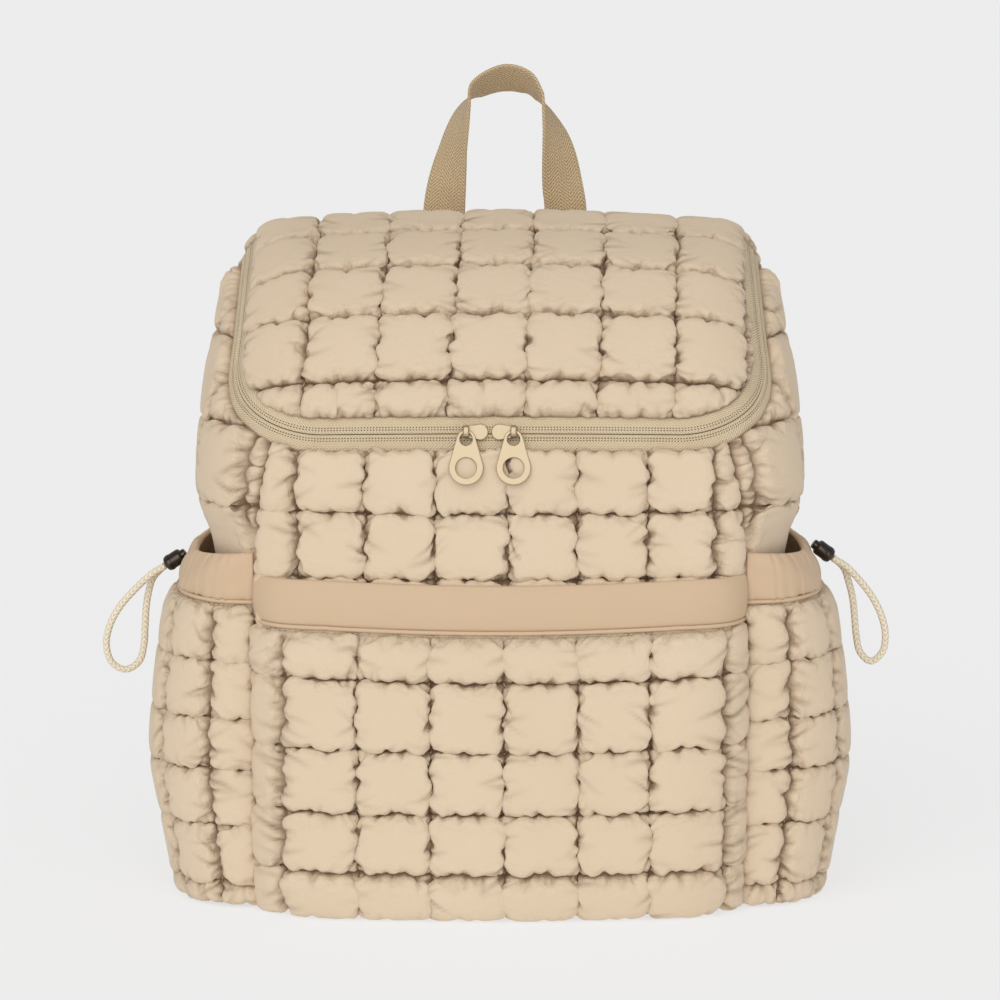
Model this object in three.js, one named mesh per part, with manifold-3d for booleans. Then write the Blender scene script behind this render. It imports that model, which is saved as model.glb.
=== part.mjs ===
// Quilted puffer backpack in millimetres, +Z up, X to the right seen from the front.
// The front faces -Y, the straps are at +Y, and the base rests on z = 0.
import * as THREE from 'three';
import * as BufferGeometryUtils from 'three/addons/utils/BufferGeometryUtils.js';
import Module from 'manifold-3d';

const wasm = await Module();
wasm.setup();

// Main body
const bodyHeight = 386;
const bodyDepth = 160;
const bodyHalfWidth = 166;
const frontCrown = 5;
const seamWall = 2.5;
const puff = 8;
const seamGap = 0.5;
const quiltPitch = 40;
const lidQuiltPitch = 41;
const lidQuiltShift = 17.5;
const frontQuiltShift = 4.4;
const firstLidRow = 25;
const firstFrontRow = 34;
const frontPitch = 38.6;
const seamPull = 12;
const seamStep = 15;
const backChannel = 46;
const backPuff = 3;
const backRow = 56;
const backTopRows = [9, 18, 32];
const sideMargin = 14;
const sideShare = 0.66;
const sideQuiltShift = -21.6;
const sideRowPitch = 43.8;
const firstSideRow = 25.7;
const backSeamShare = 0.8313;
const backSeam = backSeamShare * bodyHalfWidth;
const footHeight = 25;
const cutDepth = 14;

// Base
const baseThickness = 6;

// Zip
const zipShare = 0.7125;
const zipHeight = zipShare * bodyHeight;
const zipHalfShare = 0.9458;
const zipHalf = zipHalfShare * bodyHalfWidth;
const zipBackShare = 0.9036;
const zipBackHalf = zipBackShare * bodyHalfWidth;
const zipCorner = 58;
const zipTape = 9.2;
const zipSlit = 0.8;
const tapeThickness = 1;
const zipEndMargin = 4;
const zipStep = 18;

// Front pocket
const pocketShare = 0.508;
const pocketTop = pocketShare * bodyHeight;
const pocketBandHeight = 26;
const pocketCavity = 7;
const pocketFloor = 2;
const pocketEdgeRun = 22;
const pocketQuiltShift = 2.2;
const bandPuff = 2.5;

// Side pockets
const sidePocketShare = 0.5363;
const sidePocketTop = sidePocketShare * bodyHeight;
const sideBandHeight = 28;
const sideQuiltPitch = 34;
const sidePocketOut = 27.5;
const sidePocketHalfWidth = bodyHalfWidth + sidePocketOut;
const sideRoundness = 2.5;
const pocketInset = 3;
const gatherPitch = 13;
const gatherPuff = 2.2;

// Sliders and pulls
const pullLength = 31;
const pullRing = 9.6;
const pullRingHole = 5.8;
const pullTop = 5.3;
const pullTopHole = 3.5;
const pullThickness = 1.5;
const pullTilt = 18;
const crownInner = 1.9;
const crownWall = 1.6;
const crownWidth = 3.4;
const sliderLength = 14;
const sliderWidth = 8.5;
const sliderPlate = 2;
const sliderLift = 0.3;
const sliderMeeting = -5.6;
const sliderSpace = 1.6;

// Handle
const handleWidth = 25;
const handleThickness = 2.4;
const handleSpread = 71.4;
const handleShift = 2.9;
const handleRise = 80;
const handleSeat = 40;
const handleLean = 6;
const handleSink = 1;

// Drawcords
const cordDiameter = 4;
const lockLength = 11;
const lockWidth = 12.5;
const lockHeight = 9;
const lockEdge = 2;
const lockEdgeInset = 1.4;

// Shoulder straps
const strapWidth = 62;
const strapThickness = 11;
const webWidth = 25;
const webThickness = 1.8;
const adjusterLength = 22;
const adjusterBar = 3.6;
const adjusterThickness = 4;
const adjusterDrop = 20;
const strapStandOff = 24;
const lowerStrapOut = 0.72;
const lowerStrapEnd = 0.05;
const lowerStrapSewn = 0.1;
const webTail = 2;
const fitGap = 0.3;

// Side profile of the body, from the front bottom edge over the top to the back bottom edge.
// depth is a share of bodyDepth from its middle, height a share of bodyHeight, and round is
// the radius, as a share of bodyHalfWidth, with which the profile turns into the side.
const profileRows = [
  { depth: -0.468, height: 0.003, round: 0.36 },
  { depth: -0.484, height: 0.04, round: 0.36 },
  { depth: -0.497, height: 0.12, round: 0.36 },
  { depth: -0.5, height: 0.31, round: 0.36 },
  { depth: -0.491, height: 0.54, round: 0.36 },
  { depth: -0.478, height: 0.69, round: 0.36 },
  { depth: -0.405, height: 0.78, round: 0.355 },
  { depth: -0.25, height: 0.876, round: 0.33 },
  { depth: -0.05, height: 0.943, round: 0.28 },
  { depth: 0.1875, height: 0.982, round: 0.21 },
  { depth: 0.37, height: 1, round: 0.16 },
  { depth: 0.462, height: 0.982, round: 0.16 },
  { depth: 0.497, height: 0.93, round: 0.17 },
  { depth: 0.5, height: 0.8, round: 0.21 },
  { depth: 0.5, height: 0.39, round: 0.24 },
  { depth: 0.492, height: 0.08, round: 0.24 },
  { depth: 0.455, height: 0.003, round: 0.24 },
];

// Half width of the body as a share of bodyHalfWidth, by height as a share of bodyHeight.
const widthRows = [
  { height: 0, half: 0.875 },
  { height: 0.15, half: 0.89 },
  { height: 0.39, half: 0.915 },
  { height: 0.52, half: 0.965 },
  { height: 0.6, half: 1 },
  { height: 0.75, half: 0.985 },
  { height: 0.855, half: 0.95 },
  { height: 0.95, half: 0.92 },
  { height: 1, half: 0.905 },
];

// Distance of the front side seams from the middle, as a share of bodyHalfWidth.
const seamRows = [
  { height: 0, half: 0.837 },
  { height: 0.5, half: 0.837 },
  { height: 0.62, half: 0.81 },
  { height: 0.74, half: 0.745 },
  { height: 0.9, half: 0.62 },
  { height: 1, half: 0.53 },
];

// Half width of a side pocket's wall as a share of sidePocketHalfWidth, by its height share.
const pocketRowsOut = [
  { height: 0, half: 0.915 },
  { height: 0.04, half: 0.937 },
  { height: 0.13, half: 0.95 },
  { height: 0.28, half: 0.98 },
  { height: 0.4, half: 1 },
  { height: 0.61, half: 0.984 },
  { height: 0.79, half: 0.956 },
  { height: 0.86, half: 0.938 },
  { height: 0.93, half: 0.915 },
  { height: 1, half: 0.872 },
];

// Lines down a side panel, as shares of half the depth, closer where the skin turns in.
const sideColumns = [-1, -0.93, -0.87, -0.77, -0.65, -0.52, -0.27, -0.02, 0.23, 0.48, 0.73, 0.85, 0.93, 1];

// Horizontal seams of the front pocket, as shares of its height below the band.
const pocketSeams = [0, 0.165, 0.37, 0.585, 0.82, 1];

// The handle's run from its left leg over the arch to its right leg. side is a share of
// handleSpread and rise of handleRise; turn and tilt are the turn of its width, in degrees.
const handleRows = [
  { side: -0.5, rise: 0.05, turn: 10, tilt: 0 },
  { side: -0.43, rise: 0.475, turn: 47, tilt: 8 },
  { side: -0.335, rise: 0.775, turn: 65, tilt: 22 },
  { side: -0.241, rise: 0.909, turn: 83, tilt: 34 },
  { side: 0, rise: 1, turn: 90, tilt: 40 },
  { side: 0.183, rise: 0.962, turn: 97, tilt: 38 },
  { side: 0.287, rise: 0.862, turn: 98, tilt: 32 },
  { side: 0.38, rise: 0.675, turn: 119, tilt: 18 },
  { side: 0.436, rise: 0.494, turn: 138, tilt: 8 },
  { side: 0.478, rise: 0.2, turn: 165, tilt: 2 },
  { side: 0.5, rise: 0.05, turn: 172, tilt: 0 },
];

// A shoulder strap from its sewn top end down: out is a share of bodyHalfWidth, up of
// bodyHeight, and off of strapStandOff.
const strapRows = [
  { out: 0.25, up: 0.862, off: 0 },
  { out: 0.3, up: 0.81, off: 0.14 },
  { out: 0.39, up: 0.71, off: 0.62 },
  { out: 0.48, up: 0.6, off: 1 },
  { out: 0.54, up: 0.47, off: 0.92 },
  { out: 0.57, up: 0.37, off: 0.5 },
];

// Width of the padded strap along it, as a share of strapWidth.
const strapWidths = [
  { share: 0, width: 0.72 },
  { share: 0.2, width: 0.92 },
  { share: 0.5, width: 1 },
  { share: 0.8, width: 0.88 },
  { share: 1, width: 0.5 },
];

const perDegree = Math.PI / 180;
const step = 0.4;

// A smooth curve through a table, read by one column and giving another.
function tableCurve(rows, input, output) {
  const points = rows.map((row) => new THREE.Vector3(row[input], row[output], 0));
  const fine = new THREE.CatmullRomCurve3(points, false, 'centripetal').getPoints(rows.length * 24);
  return (value) => {
    let index = 1;
    while (index < fine.length - 1 && fine[index].x < value) index += 1;
    const [a, b] = [fine[index - 1], fine[index]];
    const share = Math.min(Math.max((value - a.x) / Math.max(b.x - a.x, 1e-9), 0), 1);
    return a.y + (b.y - a.y) * share;
  };
}

const halfShare = tableCurve(widthRows, 'height', 'half');
const seamShare = tableCurve(seamRows, 'height', 'half');
const outShare = tableCurve(pocketRowsOut, 'height', 'half');
const halfWidthAt = (z) => halfShare(z / bodyHeight) * bodyHalfWidth;
const seamHalfAt = (z) => seamShare(z / bodyHeight) * bodyHalfWidth;
const seamHalf = (along) => (along < topAlong ? seamHalfAt(profileAt(along).z) : backSeam);
const pocketHalfAt = (z) => outShare(z / sidePocketTop) * sidePocketHalfWidth;

// The profile as a fine run of points with its length, outward normal and edge radius.
function makeProfile() {
  const points = profileRows.map((row) => new THREE.Vector3(
    row.depth * bodyDepth, row.height * bodyHeight, row.round * bodyHalfWidth));
  const curve = new THREE.CatmullRomCurve3(points, false, 'centripetal');
  const fine = curve.getPoints(profileRows.length * 26);
  let length = 0;
  return fine.map((point, index) => {
    const before = fine[Math.max(index - 1, 0)];
    const after = fine[Math.min(index + 1, fine.length - 1)];
    if (index > 0) length += Math.hypot(point.x - before.x, point.y - before.y);
    const run = Math.hypot(after.x - before.x, after.y - before.y);
    return {
      along: length, y: point.x, z: point.y, round: point.z,
      ny: -(after.y - before.y) / run, nz: (after.x - before.x) / run,
    };
  });
}
const profile = makeProfile();
const profileLength = profile[profile.length - 1].along;
const topAlong = profile.reduce((best, row) => (row.z > best.z ? row : best)).along;

function profileAt(along) {
  let low = 0;
  let high = profile.length - 1;
  while (high - low > 1) {
    const middle = (low + high) >> 1;
    if (profile[middle].along <= along) low = middle;
    else high = middle;
  }
  const [a, b] = [profile[low], profile[high]];
  const share = (along - a.along) / (b.along - a.along);
  const mix = (name) => a[name] + (b[name] - a[name]) * share;
  return { y: mix('y'), z: mix('z'), ny: mix('ny'), nz: mix('nz'), round: mix('round') };
}

// Length along the profile at which the front or the back reaches a height.
function alongAt(height, atBack) {
  const rows = atBack ? [...profile].reverse() : profile;
  return rows.find((row) => row.z >= height).along;
}

// Half width where the rounded edge, sunk by drop of its radius, has reached the height z.
function edgeWidth(profileZ, z, sunk) {
  const share = Math.min(sunk, 1) ** 3;
  return halfWidthAt(profileZ) * (1 - share) + halfWidthAt(z) * share;
}

// Outer skin over front, lid and back: across is the width laid flat, along the profile length.
function bodySkin(across, along) {
  const { y, z, ny, nz: rising, round } = profileAt(along);
  const nz = rising < 0 ? rising * Math.min(z / footHeight, 1) : rising;
  const flat = halfWidthAt(z) - round;
  const reach = Math.abs(across);
  const bend = Math.min(Math.max(reach - flat, 0) / round, Math.PI / 2);
  const drop = round * (1 - Math.cos(bend)) + frontCrown * Math.min(reach / flat, 1) ** 2;
  const wide = edgeWidth(z, z - nz * drop, 1 - Math.cos(bend));
  const x = bend > 0 ? wide - round + round * Math.sin(bend) : reach;
  return new THREE.Vector3(Math.sign(across) * x, y - ny * drop, z - nz * drop);
}

// Outer skin of the right side, as a relief over the side view, that runs on from bodySkin.
function sideSkin(y, z) {
  let best = profile[0];
  let distance = Infinity;
  for (let index = 1; index < profile.length; index += 1) {
    const [a, b] = [profile[index - 1], profile[index]];
    const [dy, dz] = [b.y - a.y, b.z - a.z];
    const share = Math.min(Math.max(((y - a.y) * dy + (z - a.z) * dz) / (dy * dy + dz * dz), 0), 1);
    const away = Math.hypot(y - a.y - dy * share, z - a.z - dz * share);
    if (away < distance) {
      distance = away;
      best = { z: a.z + dz * share, round: a.round + (b.round - a.round) * share };
    }
  }
  const sunk = Math.min(Math.max((distance - frontCrown) / best.round, 0), 1);
  const wide = edgeWidth(best.z, z, sunk);
  const x = wide - best.round + best.round * Math.sqrt(1 - (1 - sunk) ** 2);
  return new THREE.Vector3(x, y, z);
}

// Plan curve of a side pocket from its front seam to its back seam, even along its length.
function makePlanCurve() {
  const points = [];
  for (let index = 0; index <= 200; index += 1) {
    const turn = (index / 200 - 0.5) * Math.PI;
    points.push({
      out: Math.cos(turn) ** (2 / sideRoundness),
      back: Math.sign(turn) * Math.abs(Math.sin(turn)) ** (2 / sideRoundness),
      run: 0,
    });
  }
  const sizeOut = sidePocketHalfWidth - seamHalfAt(0);
  for (let index = 1; index < points.length; index += 1) {
    const [a, b] = [points[index - 1], points[index]];
    b.run = a.run + Math.hypot((b.out - a.out) * sizeOut, (b.back - a.back) * bodyDepth / 2);
  }
  return points;
}
const planCurve = makePlanCurve();
const planLength = planCurve[planCurve.length - 1].run;

// Outer skin of the right side pocket: around is the length from its front seam.
function pocketSkin(around, z) {
  const run = Math.min(Math.max(around, 0), planLength);
  let index = 1;
  while (index < planCurve.length - 1 && planCurve[index].run < run) index += 1;
  const [a, b] = [planCurve[index - 1], planCurve[index]];
  const share = (run - a.run) / (b.run - a.run);
  const out = a.out + (b.out - a.out) * share;
  const back = (a.back + (b.back - a.back) * share + 1) / 2;
  const low = Math.max(z, pocketFloor);
  const front = bodySkin(seamHalfAt(low) + pocketInset, alongAt(low, false));
  const rear = bodySkin(backSeam + pocketInset, alongAt(low, true));
  const x = front.x + (rear.x - front.x) * back;
  return new THREE.Vector3(x + out * (pocketHalfAt(z) - x), front.y + (rear.y - front.y) * back, z);
}

// Outward normal of a skin, from two short steps on it.
function skinNormal(skin, u, v) {
  const across = skin(u + step, v).sub(skin(u - step, v));
  const up = skin(u, v + step).sub(skin(u, v - step));
  return across.cross(up).normalize();
}

// Part of a polygon on the left of each edge of a convex outline.
function clipPolygon(polygon, outline) {
  let kept = polygon;
  outline.forEach((from, index) => {
    const to = outline[(index + 1) % outline.length];
    const side = ([u, v]) => (to[0] - from[0]) * (v - from[1]) - (to[1] - from[1]) * (u - from[0]);
    const next = [];
    kept.forEach((point, place) => {
      const other = kept[(place + 1) % kept.length];
      const [here, there] = [side(point), side(other)];
      if (here >= 0) next.push(point);
      if ((here > 0 && there < 0) || (here < 0 && there > 0)) {
        const share = here / (here - there);
        next.push([point[0] + (other[0] - point[0]) * share, point[1] + (other[1] - point[1]) * share]);
      }
    });
    kept = next;
  });
  return kept;
}

function outlineDistance([u, v], outline) {
  return Math.min(...outline.map((from, index) => {
    const to = outline[(index + 1) % outline.length];
    const [du, dv] = [to[0] - from[0], to[1] - from[1]];
    const share = Math.min(Math.max(((u - from[0]) * du + (v - from[1]) * dv) / (du * du + dv * dv), 0), 1);
    return Math.hypot(u - from[0] - du * share, v - from[1] - dv * share);
  }));
}

// Seam lines with, between each two, the lines at which the padding has risen.
const pillowShares = [0, 0.27, 0.73];
const peakShares = [0, 0.5];
const plainShares = [0];
function cellLines(lines, shares, plainBelow) {
  const inner = lines.slice(0, -1).flatMap((line, index) => {
    const plain = lines[index + 1] <= plainBelow;
    return (plain ? plainShares : shares).map((share) => line + (lines[index + 1] - line) * share);
  });
  return [...inner, lines[lines.length - 1]];
}

// Height share of a pillow at one place between its two seam lines.
function riseBetween(value, lines) {
  const index = lines.findIndex((line, place) => place > 0 && value <= line + 1e-6);
  if (index < 1) return 0;
  const share = Math.min(Math.max((value - lines[index - 1]) / (lines[index] - lines[index - 1]), 0), 1);
  return (4 * share * (1 - share)) ** 0.5;
}

const pillowRise = (u, v, columns, rows) => riseBetween(u, columns) * riseBetween(v, rows);

// One panel of quilted, padded cloth: a closed solid between its outer and inner faces.
function quiltedPanel({
  columns, rows, outline, skin, edges = [], height = puff, wall = seamWall, lift = () => 0,
  columnShares = pillowShares, rowShares = pillowShares, plainBelow = -Infinity, rise = pillowRise,
}) {
  const columnLines = cellLines(columns, columnShares, -Infinity);
  const rowLines = cellLines(rows, rowShares, plainBelow);
  const ids = new Map();
  const flat = [];
  const faces = [];
  const idOf = ([u, v]) => {
    const key = `${Math.round(u * 50)}_${Math.round(v * 50)}`;
    if (!ids.has(key)) {
      ids.set(key, flat.length);
      flat.push([u, v]);
    }
    return ids.get(key);
  };
  for (let column = 1; column < columnLines.length; column += 1) {
    for (let row = 1; row < rowLines.length; row += 1) {
      const [u0, u1] = [columnLines[column - 1], columnLines[column]];
      const [v0, v1] = [rowLines[row - 1], rowLines[row]];
      const polygon = clipPolygon([[u0, v0], [u1, v0], [u1, v1], [u0, v1]], outline).map(idOf);
      const ring = polygon.filter((id, place) => id !== polygon[(place + 1) % polygon.length]);
      for (let place = 2; place < ring.length; place += 1) {
        faces.push([ring[0], ring[place - 1], ring[place]]);
      }
    }
  }
  const count = flat.length;
  const positions = [];
  const put = (point, normal, distance) => positions.push(
    point.x + normal.x * distance, point.y + normal.y * distance, point.z + normal.z * distance);
  const base = flat.map(([u, v]) => {
    const edge = edges.reduce((least, line) => Math.min(least, outlineDistance([u, v], line) / seamPull), 1);
    const risen = v <= plainBelow ? 0 : height * rise(u, v, columns, rows) * edge ** 0.5;
    return { point: skin(u, v), normal: skinNormal(skin, u, v), raised: lift(u, v), risen };
  });
  base.forEach(({ point, normal, raised, risen }) => put(point, normal, raised + risen));
  base.forEach(({ point, normal, raised }) => put(point, normal, raised - wall));
  const index = [];
  const used = new Set();
  faces.forEach(([a, b, c]) => {
    index.push(a, b, c, a + count, c + count, b + count);
    [[a, b], [b, c], [c, a]].forEach(([from, to]) => used.add(`${from}_${to}`));
  });
  used.forEach((edge) => {
    const [from, to] = edge.split('_').map(Number);
    if (!used.has(`${to}_${from}`)) {
      index.push(to, from, from + count, to, from + count, to + count);
    }
  });
  return shapeOf(positions, index);
}

function shapeOf(positions, index) {
  const shape = new THREE.BufferGeometry();
  shape.setAttribute('position', new THREE.Float32BufferAttribute(positions, 3));
  shape.setIndex(index);
  return shape;
}

// A solid through closed rings of points, with flat ends.
function loftRings(rings) {
  const size = rings[0].length;
  const positions = rings.flat().flatMap((point) => [point.x, point.y, point.z]);
  const index = [];
  for (let ring = 1; ring < rings.length; ring += 1) {
    for (let place = 0; place < size; place += 1) {
      const next = (place + 1) % size;
      const [a, b] = [(ring - 1) * size, ring * size];
      index.push(a + place, a + next, b + next, a + place, b + next, b + place);
    }
  }
  const last = (rings.length - 1) * size;
  for (let place = 2; place < size; place += 1) {
    index.push(0, place, place - 1, last, last + place - 1, last + place);
  }
  return shapeOf(positions, index);
}

function toManifold(shape) {
  const plain = shape.clone();
  plain.deleteAttribute('normal');
  plain.deleteAttribute('uv');
  const merged = BufferGeometryUtils.mergeVertices(plain, 1e-4);
  return new wasm.Manifold(new wasm.Mesh({
    numProp: 3,
    vertProperties: new Float32Array(merged.attributes.position.array),
    triVerts: new Uint32Array(merged.index.array),
  }));
}

function fromManifold(solid) {
  const mesh = solid.getMesh();
  return shapeOf([...mesh.vertProperties], [...mesh.triVerts]);
}

const cutFrom = (shape, cutter) => fromManifold(toManifold(shape).subtract(toManifold(cutter)));
const joined = (shapes) => fromManifold(shapes.map(toManifold).reduce((all, next) => all.add(next)));

// The same shape on the other side of the body, with its faces still pointing out.
function mirrored(shape) {
  const copy = shape.clone();
  const place = copy.attributes.position;
  for (let index = 0; index < place.count; index += 1) place.setX(index, -place.getX(index));
  const order = copy.index.array;
  for (let index = 0; index < order.length; index += 3) {
    [order[index + 1], order[index + 2]] = [order[index + 2], order[index + 1]];
  }
  return copy;
}

function finish(color, roughness, metalness) {
  return new THREE.MeshStandardMaterial({ color, roughness, metalness });
}
const nylon = finish('#d8bd9a', 0.62, 0);
const smoothNylon = finish('#cfb08a', 0.6, 0);
const zipFinish = finish('#d2bf9f', 0.75, 0);
const webFinish = finish('#bda381', 0.8, 0);
const goldFinish = finish('#d9c7a0', 0.28, 0.9);
const lockFinish = finish('#4a4540', 0.35, 0.7);
const cordFinish = finish('#d6c19b', 0.8, 0);
const plasticFinish = finish('#b59d7b', 0.5, 0);

const group = new THREE.Group();
function addPiece(name, shape, material, parent = group) {
  const piece = new THREE.Mesh(shape, material);
  piece.name = name;
  parent.add(piece);
  return piece;
}

function addPair(name, shape, material) {
  addPiece(`${name}_right`, shape, material);
  addPiece(`${name}_left`, mirrored(shape), material);
}

// Seam lines at one pitch that cover a span, with one of them at a given place.
function seamLines(low, high, pitch, through) {
  const lines = [];
  const first = Math.floor((low - through) / pitch);
  for (let place = first; through + (place - 1) * pitch < high; place += 1) {
    lines.push(through + place * pitch);
  }
  return lines;
}

// The two edges of the zip, and the outline of everything above it, laid flat on the body.
const zipAlong = alongAt(zipHeight, false);
const zipTurns = 6;
function zipLine(outward) {
  const reach = zipHalf + outward;
  const low = zipAlong - outward;
  const radius = zipCorner + outward;
  const corner = [];
  for (let index = 0; index <= zipTurns; index += 1) {
    const angle = (index / zipTurns) * Math.PI / 2;
    corner.push([reach - radius + radius * Math.sin(angle), low + radius - radius * Math.cos(angle)]);
  }
  const right = [...corner, [zipBackHalf + outward, topAlong - zipEndMargin]];
  return [...right.map(([u, v]) => [-u, v]).reverse(), ...right];
}

function lid() {
  const outline = zipLine(-zipSlit / 2 - zipTape - seamGap);
  const low = outline[zipTurns + 1][1];
  const seams = [0, 1, 2, 3, 4].map((place) => low + firstLidRow + place * lidQuiltPitch);
  return quiltedPanel({
    columns: seamLines(-zipHalf, zipHalf, lidQuiltPitch, lidQuiltShift),
    rows: [low, ...seams],
    outline,
    edges: [outline],
    skin: bodySkin,
  });
}

// A thick block over the zip and the lid, to cut the mouth out of the panels round it.
function mouthCutter() {
  const outline = zipLine(zipSlit / 2 + zipTape + seamGap);
  const low = outline[zipTurns + 1][1];
  return quiltedPanel({
    columns: seamLines(-zipHalf - zipCorner, zipHalf + zipCorner, quiltPitch / 2, 0),
    rows: seamLines(low, topAlong, quiltPitch / 2, low),
    outline,
    skin: bodySkin,
    columnShares: plainShares,
    rowShares: plainShares,
    height: 0,
    wall: 2 * cutDepth,
    lift: () => cutDepth,
  });
}

// The outline of a panel between its two side seams, laid flat on the body.
function seamOutline(low, high, inset) {
  const stations = [low];
  for (let place = Math.ceil(low / seamStep + 0.1); place * seamStep < high - 1; place += 1) {
    stations.push(place * seamStep);
  }
  const side = [...stations, high].map((along) => [seamHalf(along) - inset, along]);
  return [...side, ...side.map(([u, v]) => [-u, v]).reverse()];
}

const panelFloor = baseThickness + seamGap;
const bandBottom = pocketTop - pocketBandHeight;
const frontLow = alongAt(panelFloor, false);
const frontHigh = zipAlong + zipCorner / 2;
const backHigh = topAlong + seamGap;
const backLow = alongAt(panelFloor, true);

function frontPanel() {
  const outline = seamOutline(frontLow, frontHigh, seamGap / 2);
  const edge = zipAlong - zipSlit / 2 - zipTape - seamGap;
  const hidden = alongAt(pocketTop, false);
  const panel = quiltedPanel({
    columns: seamLines(-bodyHalfWidth, bodyHalfWidth, frontPitch, frontQuiltShift),
    rows: [...seamLines(frontLow, hidden - quiltPitch, quiltPitch, frontLow), hidden, edge - firstFrontRow, edge, frontHigh],
    outline,
    edges: [outline, zipLine(zipSlit / 2 + zipTape + seamGap)],
    skin: bodySkin,
    plainBelow: hidden,
  });
  return cutFrom(panel, mouthCutter());
}

function backPanel() {
  const outline = seamOutline(backHigh, backLow, seamGap / 2);
  const topRows = backTopRows.map((row) => backHigh + row);
  return quiltedPanel({
    columns: seamLines(-bodyHalfWidth, bodyHalfWidth, backChannel, 0),
    rows: [backHigh, ...topRows, ...seamLines(topRows[2] + backRow, backLow, backRow, topRows[2])],
    outline,
    edges: [outline],
    skin: bodySkin,
    height: backPuff,
    rowShares: plainShares,
    rise: (u, v, columns) => riseBetween(u, columns),
  });
}

// The right side: a generous panel, cut where the front, the back and the mouth begin.
function sidePanel() {
  const points = [];
  for (let index = 0; index <= 40; index += 1) {
    const along = frontLow + (backLow - frontLow) * index / 40;
    const place = bodySkin(along < topAlong ? sideShare * bodyHalfWidth : backSeam - sideMargin, along);
    points.push([place.y, place.z]);
  }
  const outline = [[points[0][0], panelFloor], [points[40][0], panelFloor], ...points.reverse()];
  const zipEdge = zipLine(zipSlit / 2 + zipTape + seamGap).slice(zipTurns + 1);
  const seam = (from, to) => [0, 0.25, 0.5, 0.75, 1].map((share) => {
    const along = from + (to - from) * share;
    return [seamHalf(along), along];
  });
  const edge = [...seam(frontLow, frontHigh), ...zipEdge.slice(2), ...seam(backHigh, backLow)];
  const flatEdge = edge.map(([u, v]) => bodySkin(u, v)).map((place) => [place.y, place.z]);
  const seams = seamLines(-bodyDepth / 2, bodyDepth / 2, quiltPitch, sideQuiltShift);
  const firstRow = sidePocketTop + firstSideRow;
  const panel = quiltedPanel({
    columns: sideColumns.map((share) => share * bodyDepth / 2),
    rows: [
      ...seamLines(panelFloor, sidePocketTop - seamGap, quiltPitch, sidePocketTop),
      ...seamLines(firstRow, bodyHeight, sideRowPitch, firstRow),
    ],
    outline,
    edges: [flatEdge],
    skin: sideSkin,
    plainBelow: sidePocketTop,
    columnShares: plainShares,
    rowShares: peakShares,
    rise: (u, v, columns, rows) => riseBetween(u, seams) * riseBetween(v, rows),
  });
  const cutter = (low, high) => quiltedPanel({
    columns: seamLines(-bodyHalfWidth, bodyHalfWidth, quiltPitch, 0),
    rows: seamLines(low, high, quiltPitch / 2, low),
    outline: seamOutline(low, high, -seamGap),
    skin: bodySkin,
    columnShares: plainShares,
    rowShares: plainShares,
    height: 0,
    wall: 2 * cutDepth,
    lift: () => cutDepth,
  });
  const cutters = [cutter(0, frontHigh), cutter(topAlong, profileLength), mouthCutter()];
  return cutters.reduce((shape, tool) => cutFrom(shape, tool), panel);
}

// How far the front pocket's wall stands off the front panel, closing at its sides and floor.
function pocketLift(across, along) {
  const side = (seamHalfAt(0) - Math.abs(across)) / pocketEdgeRun;
  const low = (along - alongAt(pocketFloor, false)) / pocketEdgeRun;
  const open = Math.min(Math.max(Math.min(side, low), 0), 1);
  return seamWall + seamGap + pocketCavity * Math.sin(open * Math.PI / 2);
}

function frontPocket() {
  const low = alongAt(pocketFloor, false);
  const high = alongAt(bandBottom, false) - seamGap / 2;
  const half = seamHalfAt(0) - seamGap / 2;
  const seams = pocketSeams.map((share) => low + (high - low) * share);
  const outline = [[-half, low], [half, low], [half, high], [-half, high]];
  return quiltedPanel({
    columns: seamLines(-half, half, quiltPitch, pocketQuiltShift),
    rows: seams,
    outline,
    edges: [outline],
    skin: bodySkin,
    lift: pocketLift,
  });
}

function frontPocketBand() {
  const low = alongAt(bandBottom, false) + seamGap / 2;
  const high = alongAt(pocketTop, false);
  const half = seamHalfAt(0) - seamGap / 2;
  const outline = [[-half, low], [half, low], [half, high], [-half, high]];
  return quiltedPanel({
    columns: seamLines(-half, half, quiltPitch / 2, 0),
    rows: [low, high],
    outline,
    edges: [outline],
    skin: bodySkin,
    height: bandPuff,
    columnShares: plainShares,
    lift: pocketLift,
    rise: (u, v, columns, rows) => riseBetween(v, rows),
  });
}

function sidePocketPart(low, high, options) {
  const outline = [[0, low], [planLength, low], [planLength, high], [0, high]];
  return quiltedPanel({ outline, edges: [outline], skin: pocketSkin, lift: () => seamWall + seamGap, ...options });
}

function sidePocket() {
  const top = sidePocketTop - sideBandHeight - seamGap / 2;
  return sidePocketPart(pocketFloor, top, {
    columns: seamLines(0, planLength, quiltPitch, quiltPitch),
    rows: seamLines(pocketFloor, top, sideQuiltPitch, top),
    columnShares: peakShares,
    rowShares: peakShares,
  });
}

function sidePocketBand() {
  const low = sidePocketTop - sideBandHeight + seamGap / 2;
  return sidePocketPart(low, sidePocketTop, {
    columns: seamLines(0, planLength, gatherPitch, gatherPitch),
    rows: [low, sidePocketTop],
    height: gatherPuff,
    columnShares: peakShares,
    rowShares: peakShares,
  });
}

// The flat base, whose outline is the lower edge of the body.
function basePanel() {
  const points = [];
  [0, profileLength].forEach((along, place) => {
    const { z, round } = profileAt(along);
    const reach = halfWidthAt(z) - round + round * Math.PI / 2;
    for (let index = -9; index <= 9; index += 1) {
      const share = (place ? -index : index) / 9;
      const { x, y } = bodySkin(Math.sign(share) * Math.abs(share) ** 0.6 * reach, along);
      points.push(new THREE.Vector2(x, y));
    }
  });
  return new THREE.ExtrudeGeometry(new THREE.Shape(points), { depth: baseThickness, bevelEnabled: false });
}

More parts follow.
